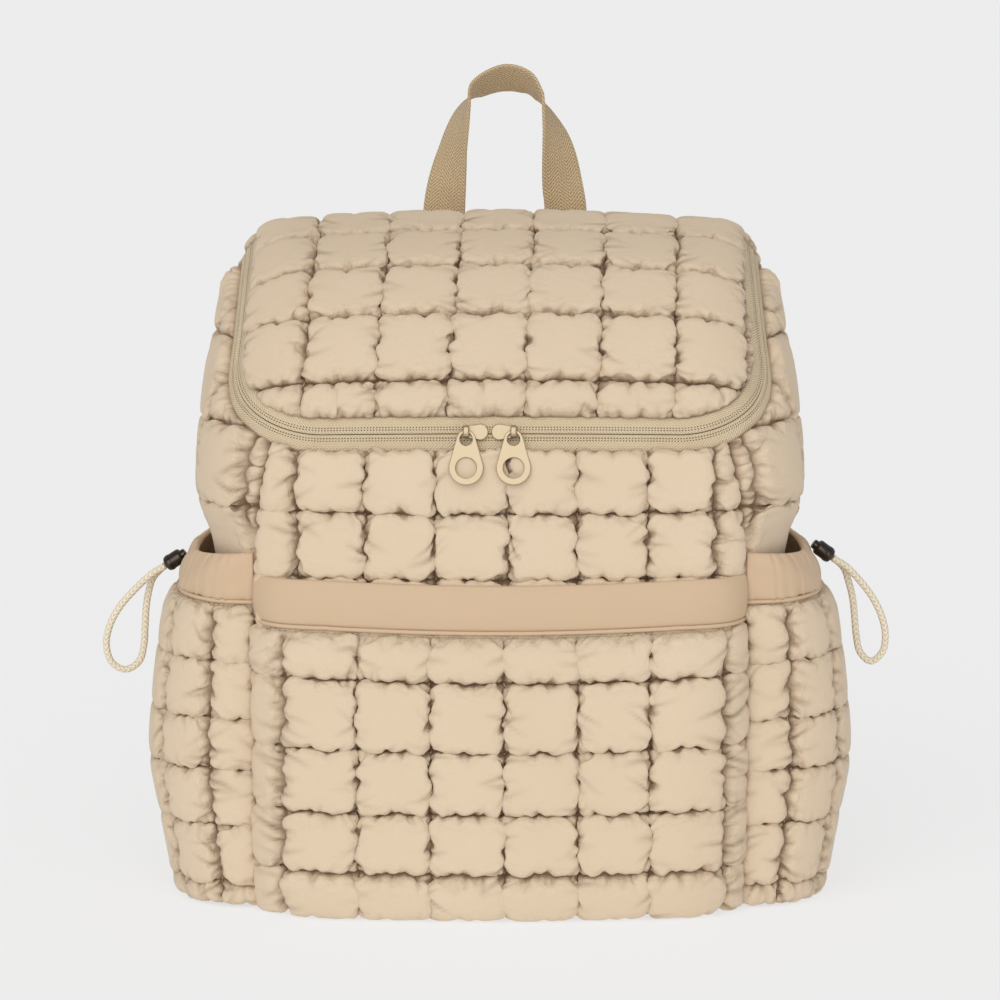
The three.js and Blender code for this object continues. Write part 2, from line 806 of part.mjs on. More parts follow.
// One side of the zip: a strip of tape along the U between two distances from its slit.
function zipStrip(from, to) {
  const [inner, outer] = [zipLine(from), zipLine(to)];
  const rings = [];
  inner.forEach((point, place) => {
    const next = inner[place + 1];
    const parts = next ? Math.ceil(Math.hypot(next[0] - point[0], next[1] - point[1]) / zipStep) : 1;
    for (let part = 0; part < parts; part += 1) {
      const mix = (line) => {
        const other = line[place + 1] ?? line[place];
        return [0, 1].map((axis) => line[place][axis] + (other[axis] - line[place][axis]) * part / parts);
      };
      const corner = (line, height) => {
        const [u, v] = mix(line);
        return bodySkin(u, v).addScaledVector(skinNormal(bodySkin, u, v), height);
      };
      rings.push([
        corner(outer, 0), corner(outer, -tapeThickness), corner(inner, -tapeThickness), corner(inner, 0)]);
    }
  });
  return loftRings(rings);
}

// A strap or web of constant section along its stations, each a centre and a width direction.
function ribbon(stations, widthAt, thickness, sides = 4) {
  const rings = stations.map(({ centre, across }, place) => {
    const before = stations[Math.max(place - 1, 0)].centre;
    const after = stations[Math.min(place + 1, stations.length - 1)].centre;
    const ahead = after.clone().sub(before).normalize();
    const wide = across.clone().addScaledVector(ahead, -ahead.dot(across)).normalize();
    const thin = ahead.clone().cross(wide);
    const share = place / (stations.length - 1);
    return Array.from({ length: sides }, (unused, side) => {
      const angle = (side + 0.5) / sides * 2 * Math.PI;
      const [c, s] = [Math.cos(angle), Math.sin(angle)];
      const power = sides === 4 ? 0 : 0.5;
      const [a, b] = [Math.sign(c) * Math.abs(c) ** power, Math.sign(s) * Math.abs(s) ** power];
      return centre.clone().addScaledVector(wide, a * widthAt(share) / 2).addScaledVector(thin, b * thickness / 2);
    });
  });
  return loftRings(rings);
}

// The grab handle: flat against the back at both ends, turned on edge over its arch.
function handle() {
  const backFace = bodySkin(handleSpread / 2, alongAt(bodyHeight - handleSeat, true)).y;
  const low = { side: -0.5, rise: -handleSeat / handleRise, turn: 0, tilt: 0 };
  const rows = [low, ...handleRows, { ...low, side: 0.5, turn: 180 }];
  const points = rows.map((row) => new THREE.Vector3(
    handleShift + row.side * handleSpread,
    backFace + backPuff - handleSink + fitGap + handleThickness / 2 + handleLean * Math.max(row.rise, 0),
    bodyHeight + row.rise * handleRise));
  const path = new THREE.CatmullRomCurve3(points, false, 'centripetal');
  const stations = path.getPoints((rows.length - 1) * 3).map((centre, place) => {
    const row = place / 3;
    const [a, b] = [rows[Math.floor(row)], rows[Math.min(Math.floor(row) + 1, rows.length - 1)]];
    const mix = (name) => (a[name] + (b[name] - a[name]) * (row % 1)) * perDegree;
    const [turn, tilt] = [mix('turn'), mix('tilt')];
    const across = new THREE.Vector3(
      Math.cos(turn) * Math.cos(tilt), -Math.sin(turn) * Math.cos(tilt), Math.sin(tilt));
    return { centre, across };
  });
  return ribbon(stations, () => handleWidth, handleThickness);
}

// The strap path over the back, from its sewn top end to its lower end at the adjuster.
const backFaceAt = (x, z) => bodySkin(x, alongAt(z, true)).y + backPuff;
function strapPath() {
  const points = strapRows.map((row) => new THREE.Vector3(
    row.out * bodyHalfWidth,
    backFaceAt(row.out * bodyHalfWidth, row.up * bodyHeight) + strapThickness / 2 + fitGap + row.off * strapStandOff,
    row.up * bodyHeight));
  return new THREE.CatmullRomCurve3(points, false, 'centripetal');
}

// The frame of an adjuster: its middle, the way up along the strap, its width and its face.
function adjusterFrame() {
  const path = strapPath();
  const end = path.getPoint(1);
  const up = path.getTangent(1).negate();
  const wide = new THREE.Vector3(1, 0, 0).addScaledVector(up, -up.x).normalize();
  const face = wide.clone().cross(up).negate();
  const middle = end.clone().addScaledVector(up, -adjusterDrop);
  return { middle, up, wide, face };
}

function placeIn({ middle, up, face }, along, off) {
  return middle.clone().addScaledVector(up, along).addScaledVector(face, off);
}

// Half a turn of web round a bar at a distance from the adjuster's middle.
function webTurn(frame, bar, sign) {
  const radius = adjusterThickness / 2 + fitGap + webThickness / 2;
  return [0, 1, 2, 3, 4, 5, 6].map((part) => {
    const angle = (part / 6 - 0.5) * Math.PI;
    return placeIn(frame, sign * (bar - radius * Math.cos(angle)), radius * Math.sin(angle));
  });
}

function shoulderStrap() {
  const frame = adjusterFrame();
  const path = strapPath();
  const width = tableCurve(strapWidths, 'share', 'width');
  const pad = ribbon(path.getPoints(16).map((centre) => ({ centre, across: new THREE.Vector3(1, 0, 0) })),
    (share) => width(share) * strapWidth, strapThickness, 10);
  const turn = webTurn(frame, adjusterLength / 2 - adjusterBar, 1);
  const reach = adjusterDrop + 4 * webThickness;
  const ends = [-1, 1].map((side) => placeIn(frame, reach, side * (adjusterThickness / 2 + fitGap + webThickness / 2)));
  const stations = [ends[0], ...turn, ends[1]].map((centre) => ({ centre, across: frame.wide.clone().negate() }));
  return joined([pad, ribbon(stations, () => webWidth, webThickness)]);
}

function lowerStrap() {
  const frame = adjusterFrame();
  const off = adjusterThickness / 2 + fitGap + webThickness / 2;
  const turn = webTurn(frame, adjusterLength / 2 - adjusterBar, -1);
  const x = lowerStrapOut * bodyHalfWidth;
  const seat = (up, gap) => new THREE.Vector3(
    x, backFaceAt(x - webWidth / 2, up * bodyHeight) + gap + webThickness / 2, up * bodyHeight);
  const run = new THREE.CatmullRomCurve3(
    [seat(lowerStrapEnd, fitGap), seat(lowerStrapSewn, fitGap), placeIn(frame, -1.1 * adjusterLength, -off), turn[0]],
    false, 'centripetal');
  const tail = [0.75, 1.2, 1.6, webTail].map((share) => placeIn(frame, -share * adjusterLength, off + 1.6 * share));
  const centres = [...run.getPoints(14).slice(0, -1), ...turn, ...tail];
  return ribbon(centres.map((centre) => ({ centre, across: frame.wide })), () => webWidth, webThickness);
}

function strapAdjuster() {
  const half = webWidth / 2 + adjusterBar + fitGap;
  const outline = new THREE.Shape();
  outline.moveTo(-half, -adjusterLength / 2);
  outline.lineTo(half, -adjusterLength / 2);
  outline.lineTo(half, adjusterLength / 2);
  outline.lineTo(-half, adjusterLength / 2);
  const slot = adjusterLength / 2 - adjusterBar;
  [[-slot, -adjusterBar / 2], [adjusterBar / 2, slot]].forEach(([low, high]) => {
    const hole = new THREE.Path();
    hole.moveTo(-half + adjusterBar, low);
    hole.lineTo(-half + adjusterBar, high);
    hole.lineTo(half - adjusterBar, high);
    hole.lineTo(half - adjusterBar, low);
    outline.holes.push(hole);
  });
  const shape = new THREE.ExtrudeGeometry(outline, { depth: adjusterThickness, bevelEnabled: false });
  shape.translate(0, 0, -adjusterThickness / 2);
  const { middle, up, wide, face } = adjusterFrame();
  shape.applyMatrix4(new THREE.Matrix4().makeBasis(wide, up, face.clone().negate()).setPosition(middle));
  return BufferGeometryUtils.mergeVertices(stripped(shape), 1e-4);
}

function stripped(shape) {
  shape.deleteAttribute('normal');
  shape.deleteAttribute('uv');
  return shape;
}

// A slider in its own frame: x along the zip, y up the bag, z away from it.
const plateTop = sliderLift + sliderPlate;
const crownCentre = plateTop + crownInner;
const crownOut = sliderLength / 2 - crownWidth / 2;
function slider(side) {
  const [half, wide] = [sliderLength / 2, sliderWidth / 2];
  const outline = new THREE.Shape();
  outline.moveTo(side * half, -wide / 2);
  outline.quadraticCurveTo(side * half, -wide, side * half / 2, -wide);
  outline.lineTo(-side * half, -0.75 * wide);
  outline.lineTo(-side * half, 0.75 * wide);
  outline.lineTo(side * half / 2, wide);
  outline.quadraticCurveTo(side * half, wide, side * half, wide / 2);
  const plate = new THREE.ExtrudeGeometry(outline, { depth: sliderPlate, bevelEnabled: false, curveSegments: 4 });
  plate.translate(0, 0, sliderLift);
  const [inner, outer] = [crownInner, crownInner + crownWall];
  const low = plateTop - sliderPlate / 2;
  const arch = new THREE.Shape();
  arch.moveTo(-outer, low);
  arch.lineTo(-outer, crownCentre);
  arch.absarc(0, crownCentre, outer, Math.PI, 0, true);
  arch.lineTo(outer, low);
  arch.lineTo(inner, low);
  arch.lineTo(inner, crownCentre);
  arch.absarc(0, crownCentre, inner, 0, Math.PI, false);
  arch.lineTo(-inner, low);
  const crown = new THREE.ExtrudeGeometry(arch, { depth: crownWidth, bevelEnabled: false, curveSegments: 10 });
  crown.translate(0, 0, side * crownOut - crownWidth / 2);
  crown.applyMatrix4(new THREE.Matrix4().makeBasis(
    new THREE.Vector3(0, 1, 0), new THREE.Vector3(0, 0, 1), new THREE.Vector3(1, 0, 0)));
  return joined([plate, crown]);
}

// A teardrop pull that hangs from the origin: a loop at the top and a ring below.
function pull() {
  const loopCentre = -(pullTop + pullTopHole) / 2;
  const ringCentre = pullTop + loopCentre - pullLength + pullRing;
  const lean = Math.asin((pullRing - pullTop) / (loopCentre - ringCentre));
  const outline = new THREE.Shape();
  outline.absarc(0, loopCentre, pullTop, lean, Math.PI - lean, false);
  outline.absarc(0, ringCentre, pullRing, Math.PI - lean, 2 * Math.PI + lean, false);
  [[loopCentre, pullTopHole], [ringCentre, pullRingHole]].forEach(([centre, radius]) => {
    const hole = new THREE.Path();
    hole.absarc(0, centre, radius, 0, 2 * Math.PI, true);
    outline.holes.push(hole);
  });
  const shape = new THREE.ExtrudeGeometry(outline, { depth: pullThickness, bevelEnabled: false, curveSegments: 10 });
  shape.translate(0, 0, -pullThickness / 2);
  return BufferGeometryUtils.mergeVertices(stripped(shape), 1e-4);
}

function addSliderAndPull(name, side) {
  const x = sliderMeeting + side * (sliderSpace + sliderLength) / 2;
  const normal = skinNormal(bodySkin, x, zipAlong);
  const right = new THREE.Vector3(1, 0, 0).addScaledVector(normal, -normal.x).normalize();
  const up = normal.clone().cross(right);
  const holder = new THREE.Group();
  holder.applyMatrix4(new THREE.Matrix4().makeBasis(right, up, normal).setPosition(bodySkin(x, zipAlong)));
  group.add(holder);
  addPiece(`zip_slider_${name}`, slider(side), goldFinish, holder);
  const pivot = bodySkin(x, zipAlong).addScaledVector(right, side * crownOut).addScaledVector(normal, crownCentre);
  const hang = new THREE.Vector3(0, Math.sin(pullTilt * perDegree), Math.cos(pullTilt * perDegree));
  const out = new THREE.Vector3(0, -Math.cos(pullTilt * perDegree), Math.sin(pullTilt * perDegree));
  const piece = addPiece(`zip_pull_${name}`, pull(), goldFinish);
  piece.applyMatrix4(new THREE.Matrix4().makeBasis(new THREE.Vector3(1, 0, 0), hang, out).setPosition(pivot));
}

// Cord locks on the side pocket bands, each a centre and the way its cord leaves it.
const lockPlaces = {
  left: { centre: [-188.4, 8, 191.5], ahead: [-0.84, 0, -0.54] },
  right: { centre: [187.3, 8, 196.5], ahead: [0.8, 0, -0.6] },
};

// Routes of the two drawcord loops, from the lock down, round and back to the lock.
const cordRoutes = {
  left: [
    [-193.7, 5.2, 188.1], [-200.3, 4.4, 184.4], [-209.5, 3.4, 176.3], [-219.7, 2.6, 164.8], [-225.6, 2, 153.9],
    [-227.7, 2.2, 142.4], [-224.6, 3.4, 131.9], [-216.8, 5.4, 127.6], [-209.4, 7.6, 132], [-206.6, 9.2, 141.3],
    [-205.9, 10.2, 151.6], [-205.3, 10.9, 162], [-203.9, 11.2, 171.2], [-200.9, 11, 180.6], [-193.7, 10.8, 188.1],
  ],
  right: [
    [192.4, 5.2, 192.7], [199.8, 4.4, 188.2], [208, 3.4, 179.8], [215.4, 2.6, 170], [220.6, 2, 159.2],
    [222.8, 2.2, 148.6], [221.4, 3.4, 138.4], [215, 5.4, 132.4], [209, 7.6, 137.2], [206.6, 9.2, 147],
    [205.6, 10.2, 158], [204.4, 10.9, 168.5], [202.2, 11.2, 177.6], [199, 11, 186.4], [192.4, 10.8, 192.7],
  ],
};

function cordLock({ centre, ahead }) {
  const outline = new THREE.Shape();
  outline.absellipse(0, 0, lockWidth / 2, lockHeight / 2, 0, 2 * Math.PI, false, 0);
  const shape = new THREE.ExtrudeGeometry(outline, {
    depth: lockLength - 2 * lockEdge, bevelEnabled: true, bevelThickness: lockEdge, bevelSize: lockEdgeInset,
    bevelOffset: -lockEdgeInset, bevelSegments: 2, curveSegments: 8,
  });
  shape.translate(0, 0, lockEdge - lockLength / 2);
  const out = new THREE.Vector3(...ahead).normalize();
  const wide = new THREE.Vector3(0, 1, 0);
  shape.applyMatrix4(new THREE.Matrix4().makeBasis(wide, out.clone().cross(wide), out));
  shape.translate(...centre);
  return BufferGeometryUtils.mergeVertices(stripped(shape), 1e-4);
}

function drawcord(route) {
  const path = new THREE.CatmullRomCurve3(route.map((point) => new THREE.Vector3(...point)), false, 'centripetal');
  const section = new THREE.Shape();
  section.absarc(0, 0, cordDiameter / 2, 0, 2 * Math.PI, false);
  return new THREE.ExtrudeGeometry(section, {
    steps: 22, extrudePath: path, bevelEnabled: false, curveSegments: 4,
  });
}

addPiece('lid', lid(), nylon);
addPiece('front_panel', frontPanel(), nylon);
addPiece('front_pocket', frontPocket(), nylon);
addPiece('front_pocket_band', frontPocketBand(), smoothNylon);
addPiece('back_panel', backPanel(), smoothNylon);
addPiece('base_panel', basePanel(), smoothNylon);
addPair('side_panel', sidePanel(), nylon);
addPair('side_pocket', sidePocket(), nylon);
addPair('side_pocket_band', sidePocketBand(), smoothNylon);
addPiece('zip_tape_lid', zipStrip(-zipSlit / 2 - zipTape, -zipSlit / 2), zipFinish);
addPiece('zip_tape_body', zipStrip(zipSlit / 2, zipSlit / 2 + zipTape), zipFinish);
addSliderAndPull('left', -1);
addSliderAndPull('right', 1);
addPiece('handle', handle(), webFinish);
addPair('shoulder_strap', shoulderStrap(), smoothNylon);
addPair('strap_adjuster', strapAdjuster(), plasticFinish);
addPair('lower_strap', lowerStrap(), webFinish);
['left', 'right'].forEach((side) => {
  addPiece(`cord_lock_${side}`, cordLock(lockPlaces[side]), lockFinish);
  addPiece(`drawcord_${side}`, drawcord(cordRoutes[side]), cordFinish);
});

// The origin lies midway between the front pocket and the shoulder straps.
const extent = new THREE.Box3().setFromObject(group);
group.position.y = -(extent.min.y + extent.max.y) / 2;

export default group;
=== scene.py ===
import math

import bpy
import numpy as np
from mathutils import Matrix


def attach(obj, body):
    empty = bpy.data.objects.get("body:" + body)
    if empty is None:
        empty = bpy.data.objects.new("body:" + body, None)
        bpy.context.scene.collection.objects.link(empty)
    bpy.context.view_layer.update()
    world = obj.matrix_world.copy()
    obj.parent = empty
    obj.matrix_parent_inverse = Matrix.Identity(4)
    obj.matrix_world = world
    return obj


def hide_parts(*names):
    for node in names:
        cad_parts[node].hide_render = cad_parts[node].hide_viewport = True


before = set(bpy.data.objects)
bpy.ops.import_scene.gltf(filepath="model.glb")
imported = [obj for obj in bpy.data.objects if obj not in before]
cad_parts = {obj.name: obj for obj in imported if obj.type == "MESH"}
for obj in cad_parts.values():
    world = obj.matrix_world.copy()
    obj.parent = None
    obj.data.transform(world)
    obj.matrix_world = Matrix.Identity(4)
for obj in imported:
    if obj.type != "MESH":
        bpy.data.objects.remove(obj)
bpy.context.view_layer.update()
for thing in list(bpy.context.selected_objects):
    thing.select_set(False)
print("frame loaded")

originShift = -10.231      # mm in y from the bag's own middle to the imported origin
mm = 0.001
uvUnit = 100               # mm of cloth to one unit of the UV map
draw = np.random.default_rng(12)


def toMetres(points):
    return (np.asarray(points, float) + [0, originShift, 0]) * mm


def addObject(name, data):
    made = bpy.data.objects.new(name, data)
    bpy.context.scene.collection.objects.link(made)
    return made


def selectOnly(piece):
    bpy.ops.object.select_all(action="DESELECT")
    piece.select_set(True)
    bpy.context.view_layer.objects.active = piece


# Camera: the photograph looks at the bag from straight ahead and a little above
view = {"height": 0.2275, "distance": 2.3, "elevation": 8, "lens": 144, "sensor": 36, "far": 200}


def makeCamera():
    tilt = math.radians(view["elevation"])
    camera = addObject("camera", bpy.data.cameras.new("camera"))
    camera.location = (0, originShift * mm - view["distance"] * math.cos(tilt),
                       view["height"] + view["distance"] * math.sin(tilt))
    camera.rotation_euler = (math.pi / 2 - tilt, 0, 0)
    camera.data.lens = view["lens"]
    camera.data.sensor_width = view["sensor"]
    camera.data.clip_end = view["far"]
    bpy.context.scene.camera = camera


makeCamera()


# Centripetal curve through points
def smoothRun(points, count):
    points = np.asarray(points, float)
    last = len(points) - 1
    ends = np.vstack([2 * points[0] - points[1], points, 2 * points[-1] - points[-2]])
    place = np.linspace(0, last, count + 1)
    index = np.minimum(place.astype(int), last - 1)
    share = (place - index)[:, None]
    a, b, c, d = (ends[index + step] for step in range(4))
    gaps = [np.maximum(((after - before) ** 2).sum(axis=1), 1e-16)[:, None] ** 0.25
            for before, after in ((a, b), (b, c), (c, d))]
    start = ((b - a) / gaps[0] - (c - a) / (gaps[0] + gaps[1]) + (c - b) / gaps[1]) * gaps[1]
    end = ((c - b) / gaps[1] - (d - b) / (gaps[1] + gaps[2]) + (d - c) / gaps[2]) * gaps[1]
    return (b + start * share + (3 * (c - b) - 2 * start - end) * share ** 2
            + (2 * (b - c) + start + end) * share ** 3)


def unit(vectors):
    return vectors / np.maximum(np.linalg.norm(vectors, axis=-1, keepdims=True), 1e-12)


def srgb(code):
    channels = [int(code[place:place + 2], 16) / 255 for place in (1, 3, 5)]
    return [c / 12.92 if c <= 0.04045 else ((c + 0.055) / 1.055) ** 2.4 for c in channels] + [1.0]


def addNode(material, kind, inputs=(), **settings):
    tree = material.node_tree
    node = tree.nodes.new("ShaderNode" + kind)
    for name, value in settings.items():
        setattr(node, name, value)
    for socket, value in dict(inputs).items():
        if isinstance(value, bpy.types.NodeSocket):
            tree.links.new(value, node.inputs[socket])
        else:
            node.inputs[socket].default_value = value
    return node


def newMaterial(name, **sockets):
    material = bpy.data.materials.new(name)
    material.use_nodes = True
    shader = material.node_tree.nodes["Principled BSDF"]
    for socket, value in sockets.items():
        shader.inputs[socket.replace("_", " ")].default_value = value
    return material, shader


def joinTo(material, output, shader, socket):
    material.node_tree.links.new(output, shader.inputs[socket])


# Woven threads: ribs at a pitch in mm, crossed by a fainter weft, read as matt cloth with a soft edge
def wovenMaterial(name, light, dark, pitch, strength, roughness=0.7, slant=0.0, zigzag=0.0):
    material, shader = newMaterial(name, Roughness=roughness, Sheen_Weight=0.1, Sheen_Roughness=0.5,
                                   Specular_IOR_Level=0.3)
    turns = 2 * math.pi * uvUnit / pitch
    laid = addNode(material, "UVMap", uv_map="laid")
    parts = addNode(material, "SeparateXYZ", {"Vector": laid.outputs["UV"]})
    across = parts.outputs["Y"]
    if zigzag:
        fold = addNode(material, "Math", {0: across, 1: zigzag / uvUnit}, operation="PINGPONG")
        across = fold.outputs[0]
    lean = addNode(material, "Math", {0: across, 1: slant, 2: parts.outputs["X"]},
                   operation="MULTIPLY_ADD")
    rib = addNode(material, "Math", {0: lean.outputs[0], 1: turns}, operation="MULTIPLY")
    wave = addNode(material, "Math", {0: rib.outputs[0]}, operation="SINE")
    cross = addNode(material, "Math", {0: parts.outputs["Y"], 1: turns / 0.8}, operation="MULTIPLY")
    weft = addNode(material, "Math", {0: cross.outputs[0]}, operation="SINE")
    both = addNode(material, "Math", {0: weft.outputs[0], 1: 0.35, 2: wave.outputs[0]},
                   operation="MULTIPLY_ADD")
    share = addNode(material, "MapRange", {0: both.outputs[0], 1: -1.3, 2: 1.3})
    place = addNode(material, "TexCoord")
    cloud = addNode(material, "TexNoise", {"Vector": place.outputs["Object"], "Scale": 30, "Detail": 3})
    tone = addNode(material, "Math", {0: cloud.outputs["Fac"], 1: 0.5, 2: share.outputs[0]},
                   operation="MULTIPLY_ADD", use_clamp=True)
    dyed = addNode(material, "Mix", {0: tone.outputs[0], 6: srgb(dark), 7: srgb(light)}, data_type="RGBA")
    joinTo(material, dyed.outputs[2], shader, "Base Color")
    bump = addNode(material, "Bump", {"Height": share.outputs[0], "Strength": strength, "Distance": 0.0004})
    joinTo(material, bump.outputs["Normal"], shader, "Normal")
    return material


# Crinkled nylon taffeta: a soft sheen, wrinkled towards its stitching and darkened there by painted shade;
# its threads are too fine to show, so the grain is drawn at about 5 mm and the crinkles at 20 to 40 mm
def crinkledNylon():
    material, shader = newMaterial("crinkledNylonTaffeta", Roughness=0.6, Sheen_Weight=0.1,
                                   Sheen_Roughness=0.45, Specular_IOR_Level=0.3)
    place = addNode(material, "TexCoord")
    cloud = addNode(material, "TexNoise", {"Vector": place.outputs["Object"], "Scale": 12, "Detail": 4})
    seam = addNode(material, "Attribute", attribute_name="nearSeam")
    # Painted shade: this attribute darkens the cloth towards #6f4a2a where the pillows sink to the stitching
    # and in the tucks
    fold = addNode(material, "Attribute", attribute_name="paintedFoldShade")
    plain = addNode(material, "Mix", {0: cloud.outputs["Fac"], 6: srgb("#dfcbb0"), 7: srgb("#d8c2a5")},
                    data_type="RGBA")
    shaded = addNode(material, "Mix", {0: fold.outputs["Fac"], 6: plain.outputs[2], 7: srgb("#6f4a2a")},
                     data_type="RGBA")
    joinTo(material, shaded.outputs[2], shader, "Base Color")
    laid = addNode(material, "UVMap", uv_map="laid")
    crinkle = addNode(material, "TexNoise", {"Vector": laid.outputs["UV"], "Scale": 26, "Detail": 5,
                                             "Roughness": 0.6, "Distortion": 0.9})
    reach = addNode(material, "MapRange", {0: seam.outputs["Fac"], 1: 0.0, 2: 0.8, 3: 0.08, 4: 1.0})
    height = addNode(material, "Math", {0: crinkle.outputs["Fac"], 1: reach.outputs[0]},
                     operation="MULTIPLY")
    bump = addNode(material, "Bump", {"Height": height.outputs[0], "Strength": 0.9, "Distance": 0.003})
    grain = addNode(material, "TexNoise", {"Vector": laid.outputs["UV"], "Scale": 180, "Detail": 2})
    fine = addNode(material, "Bump", {"Height": grain.outputs["Fac"], "Strength": 0.12, "Distance": 0.0003,
                                      "Normal": bump.outputs["Normal"]})
    joinTo(material, fine.outputs["Normal"], shader, "Normal")
    return material


# Plated zinc casting: a metal gloss, its reflections blurred by fine brushing under half a millimetre apart
def platedMetal(name, light, dark, roughness):
    material, shader = newMaterial(name, Metallic=1.0)
    place = addNode(material, "TexCoord")
    smear = addNode(material, "TexNoise", {"Vector": place.outputs["Object"], "Scale": 2600, "Detail": 2})
    plating = addNode(material, "Mix", {0: smear.outputs["Fac"], 6: srgb(dark), 7: srgb(light)},
                      data_type="RGBA")
    joinTo(material, plating.outputs[2], shader, "Base Color")
    blur = addNode(material, "MapRange", {0: smear.outputs["Fac"], 1: 0.3, 2: 0.7, 3: roughness - 0.06,
                                          4: roughness + 0.08})
    joinTo(material, blur.outputs[0], shader, "Roughness")
    bump = addNode(material, "Bump", {"Height": smear.outputs["Fac"], "Strength": 0.06, "Distance": 0.0001})
    joinTo(material, bump.outputs["Normal"], shader, "Normal")
    return material


# Polyester zip tape in twill, with two rows of needle holes beside the slit whose shade is painted as dark
# dots
twill = {"pitch": 1.8, "holePitch": 1.7, "holeShare": 0.45, "rows": ((2.3, 0.36), (3.7, 0.32))}


def zipTwill():
    material = wovenMaterial("polyesterTwillTape", "#e0cfb0", "#bda37d", twill["pitch"], 1.0, slant=1.0)
    shader = material.node_tree.nodes["Principled BSDF"]
    woven = shader.inputs["Base Color"].links[0].from_socket
    laid = addNode(material, "UVMap", uv_map="laid")
    parts = addNode(material, "SeparateXYZ", {"Vector": laid.outputs["UV"]})
    step = addNode(material, "Math", {0: parts.outputs["X"], 1: uvUnit / twill["holePitch"]},
                   operation="MULTIPLY")
    pulse = addNode(material, "Math", {0: step.outputs[0]}, operation="FRACT")
    dot = addNode(material, "Math", {0: pulse.outputs[0], 1: twill["holeShare"]}, operation="LESS_THAN")
    rowOne, rowTwo = (addNode(material, "Math", {0: parts.outputs["Y"], 1: off / uvUnit, 2: half / uvUnit},
                              operation="COMPARE") for off, half in twill["rows"])
    rows = addNode(material, "Math", {0: rowOne.outputs[0], 1: rowTwo.outputs[0]}, operation="MAXIMUM")
    # Painted shade: the needle holes are only dark dots of #6d553a in the colour
    holes = addNode(material, "Math", {0: rows.outputs[0], 1: dot.outputs[0]}, operation="MULTIPLY")
    holeShadePainted = addNode(material, "Mix", {0: holes.outputs[0], 6: woven, 7: srgb("#6d553a")}, data_type="RGBA")
    joinTo(material, holeShadePainted.outputs[2], shader, "Base Color")
    return material


# Moulded acetal: even and half matt, faintly pebbled from its tool
def mouldedPlastic():
    material, shader = newMaterial("mouldedAcetal", Roughness=0.42, Specular_IOR_Level=0.45)
    place = addNode(material, "TexCoord")
    pebble = addNode(material, "TexNoise", {"Vector": place.outputs["Object"], "Scale": 700, "Detail": 2})
    dyed = addNode(material, "Mix", {0: pebble.outputs["Fac"], 6: srgb("#c0a37d"), 7: srgb("#b89a74")},
                   data_type="RGBA")
    joinTo(material, dyed.outputs[2], shader, "Base Color")
    bump = addNode(material, "Bump", {"Height": pebble.outputs["Fac"], "Strength": 0.15, "Distance": 0.0002})
    joinTo(material, bump.outputs["Normal"], shader, "Normal")
    return material


# Thread pitches in mm; webbing, tape and cord have theirs about twice as coarse as real, so that they show
quiltCloth = crinkledNylon()
smoothCloth = wovenMaterial("plainNylonTaffeta", "#d0b596", "#ccb08f", 0.7, 0.03, roughness=0.6)
tapeCloth = zipTwill()
webCloth = wovenMaterial("herringboneWebbing", "#cfb792", "#8d7049", 2.1, 1.0, slant=1.0, zigzag=6.2)
cordCloth = wovenMaterial("braidedPolyesterCord", "#efe6d2", "#c9b48f", 3.0, 0.8, slant=1.0, zigzag=3.2)
threadCloth = wovenMaterial("polyesterThread", "#dfcdac", "#b99f78", 0.8, 0.4, slant=1.0)
# The coil's near-black colour is painted shadow of the zip's slit
coilSlitShadeCloth = wovenMaterial("nylonZipCoilSlitShade", "#3a2a1c", "#1c130c", 1.2, 1.0)
goldMetal = platedMetal("champagnePlatedZinc", "#c3b296", "#b3a184", 0.42)
lockMetal = platedMetal("gunmetalPlatedZinc", "#57504a", "#3b3531", 0.16)
buckle = mouldedPlastic()


# Meshes from points in mm, with places on the flat cloth in mm for each corner
def addPiece(name, points, faces, corners, material, nodes=()):
    mesh = bpy.data.meshes.new(name)
    mesh.from_pydata(toMetres(points).tolist(), [], faces)
    laid = mesh.uv_layers.new(name="laid")
    laid.data.foreach_set("uv", (np.asarray(corners, float) / uvUnit).ravel())
    mesh.shade_smooth()
    mesh.materials.append(material)
    piece = addObject(name, mesh)
    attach(piece, "bag")
    if nodes:
        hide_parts(*nodes)
    return piece


def lapLength(rings):
    closed = np.concatenate([rings, rings[:, :1]], axis=1)
    steps = np.linalg.norm(np.diff(closed, axis=1), axis=-1).mean(axis=0)
    return np.concatenate([[0], np.cumsum(steps)])


def runLength(points):
    return np.concatenate([[0], np.cumsum(np.linalg.norm(np.diff(points, axis=0), axis=-1))])


# A closed skin over rings of points, turned outward by the sign of its volume
def loftPiece(name, rings, material, nodes=(), along=None, around=None):
    rings = np.asarray(rings, float)
    count, size = rings.shape[:2]
    along = runLength(rings.mean(axis=1)) if along is None else along
    around = lapLength(rings) if around is None else around
    faces, corners = [], []
    for row in range(count - 1):
        for spot in range(size):
            after = (spot + 1) % size
            faces.append((row * size + spot, row * size + after,
                          (row + 1) * size + after, (row + 1) * size + spot))
            corners += [(along[row], around[spot]), (along[row], around[spot + 1]),
                        (along[row + 1], around[spot + 1]), (along[row + 1], around[spot])]
    faces.append(tuple(range(size))[::-1])
    faces.append(tuple(range((count - 1) * size, count * size)))
    corners += [(along[0], 0)] * size + [(along[-1], 0)] * size
    points = rings.reshape(-1, 3)
    volume = 0
    for picks in ((0, 1, 2), (0, 2, 3)):
        a, b, c = (points[[face[pick] for face in faces[:-2]]] for pick in picks)
        volume += (a * np.cross(b, c)).sum()
    for ring, sign in ((rings[0], -1), (rings[-1], 1)):
        centre = ring.mean(axis=0)
        volume += sign * np.dot(centre, np.cross(ring, np.roll(ring, -1, axis=0)).sum(axis=0))
    if volume < 0:
        starts = np.cumsum([0] + [len(face) for face in faces])
        corners = [corner for low, high in zip(starts, starts[1:]) for corner in corners[low:high][::-1]]
        faces = [face[::-1] for face in faces]
    return addPiece(name, points, faces, corners, material, nodes)


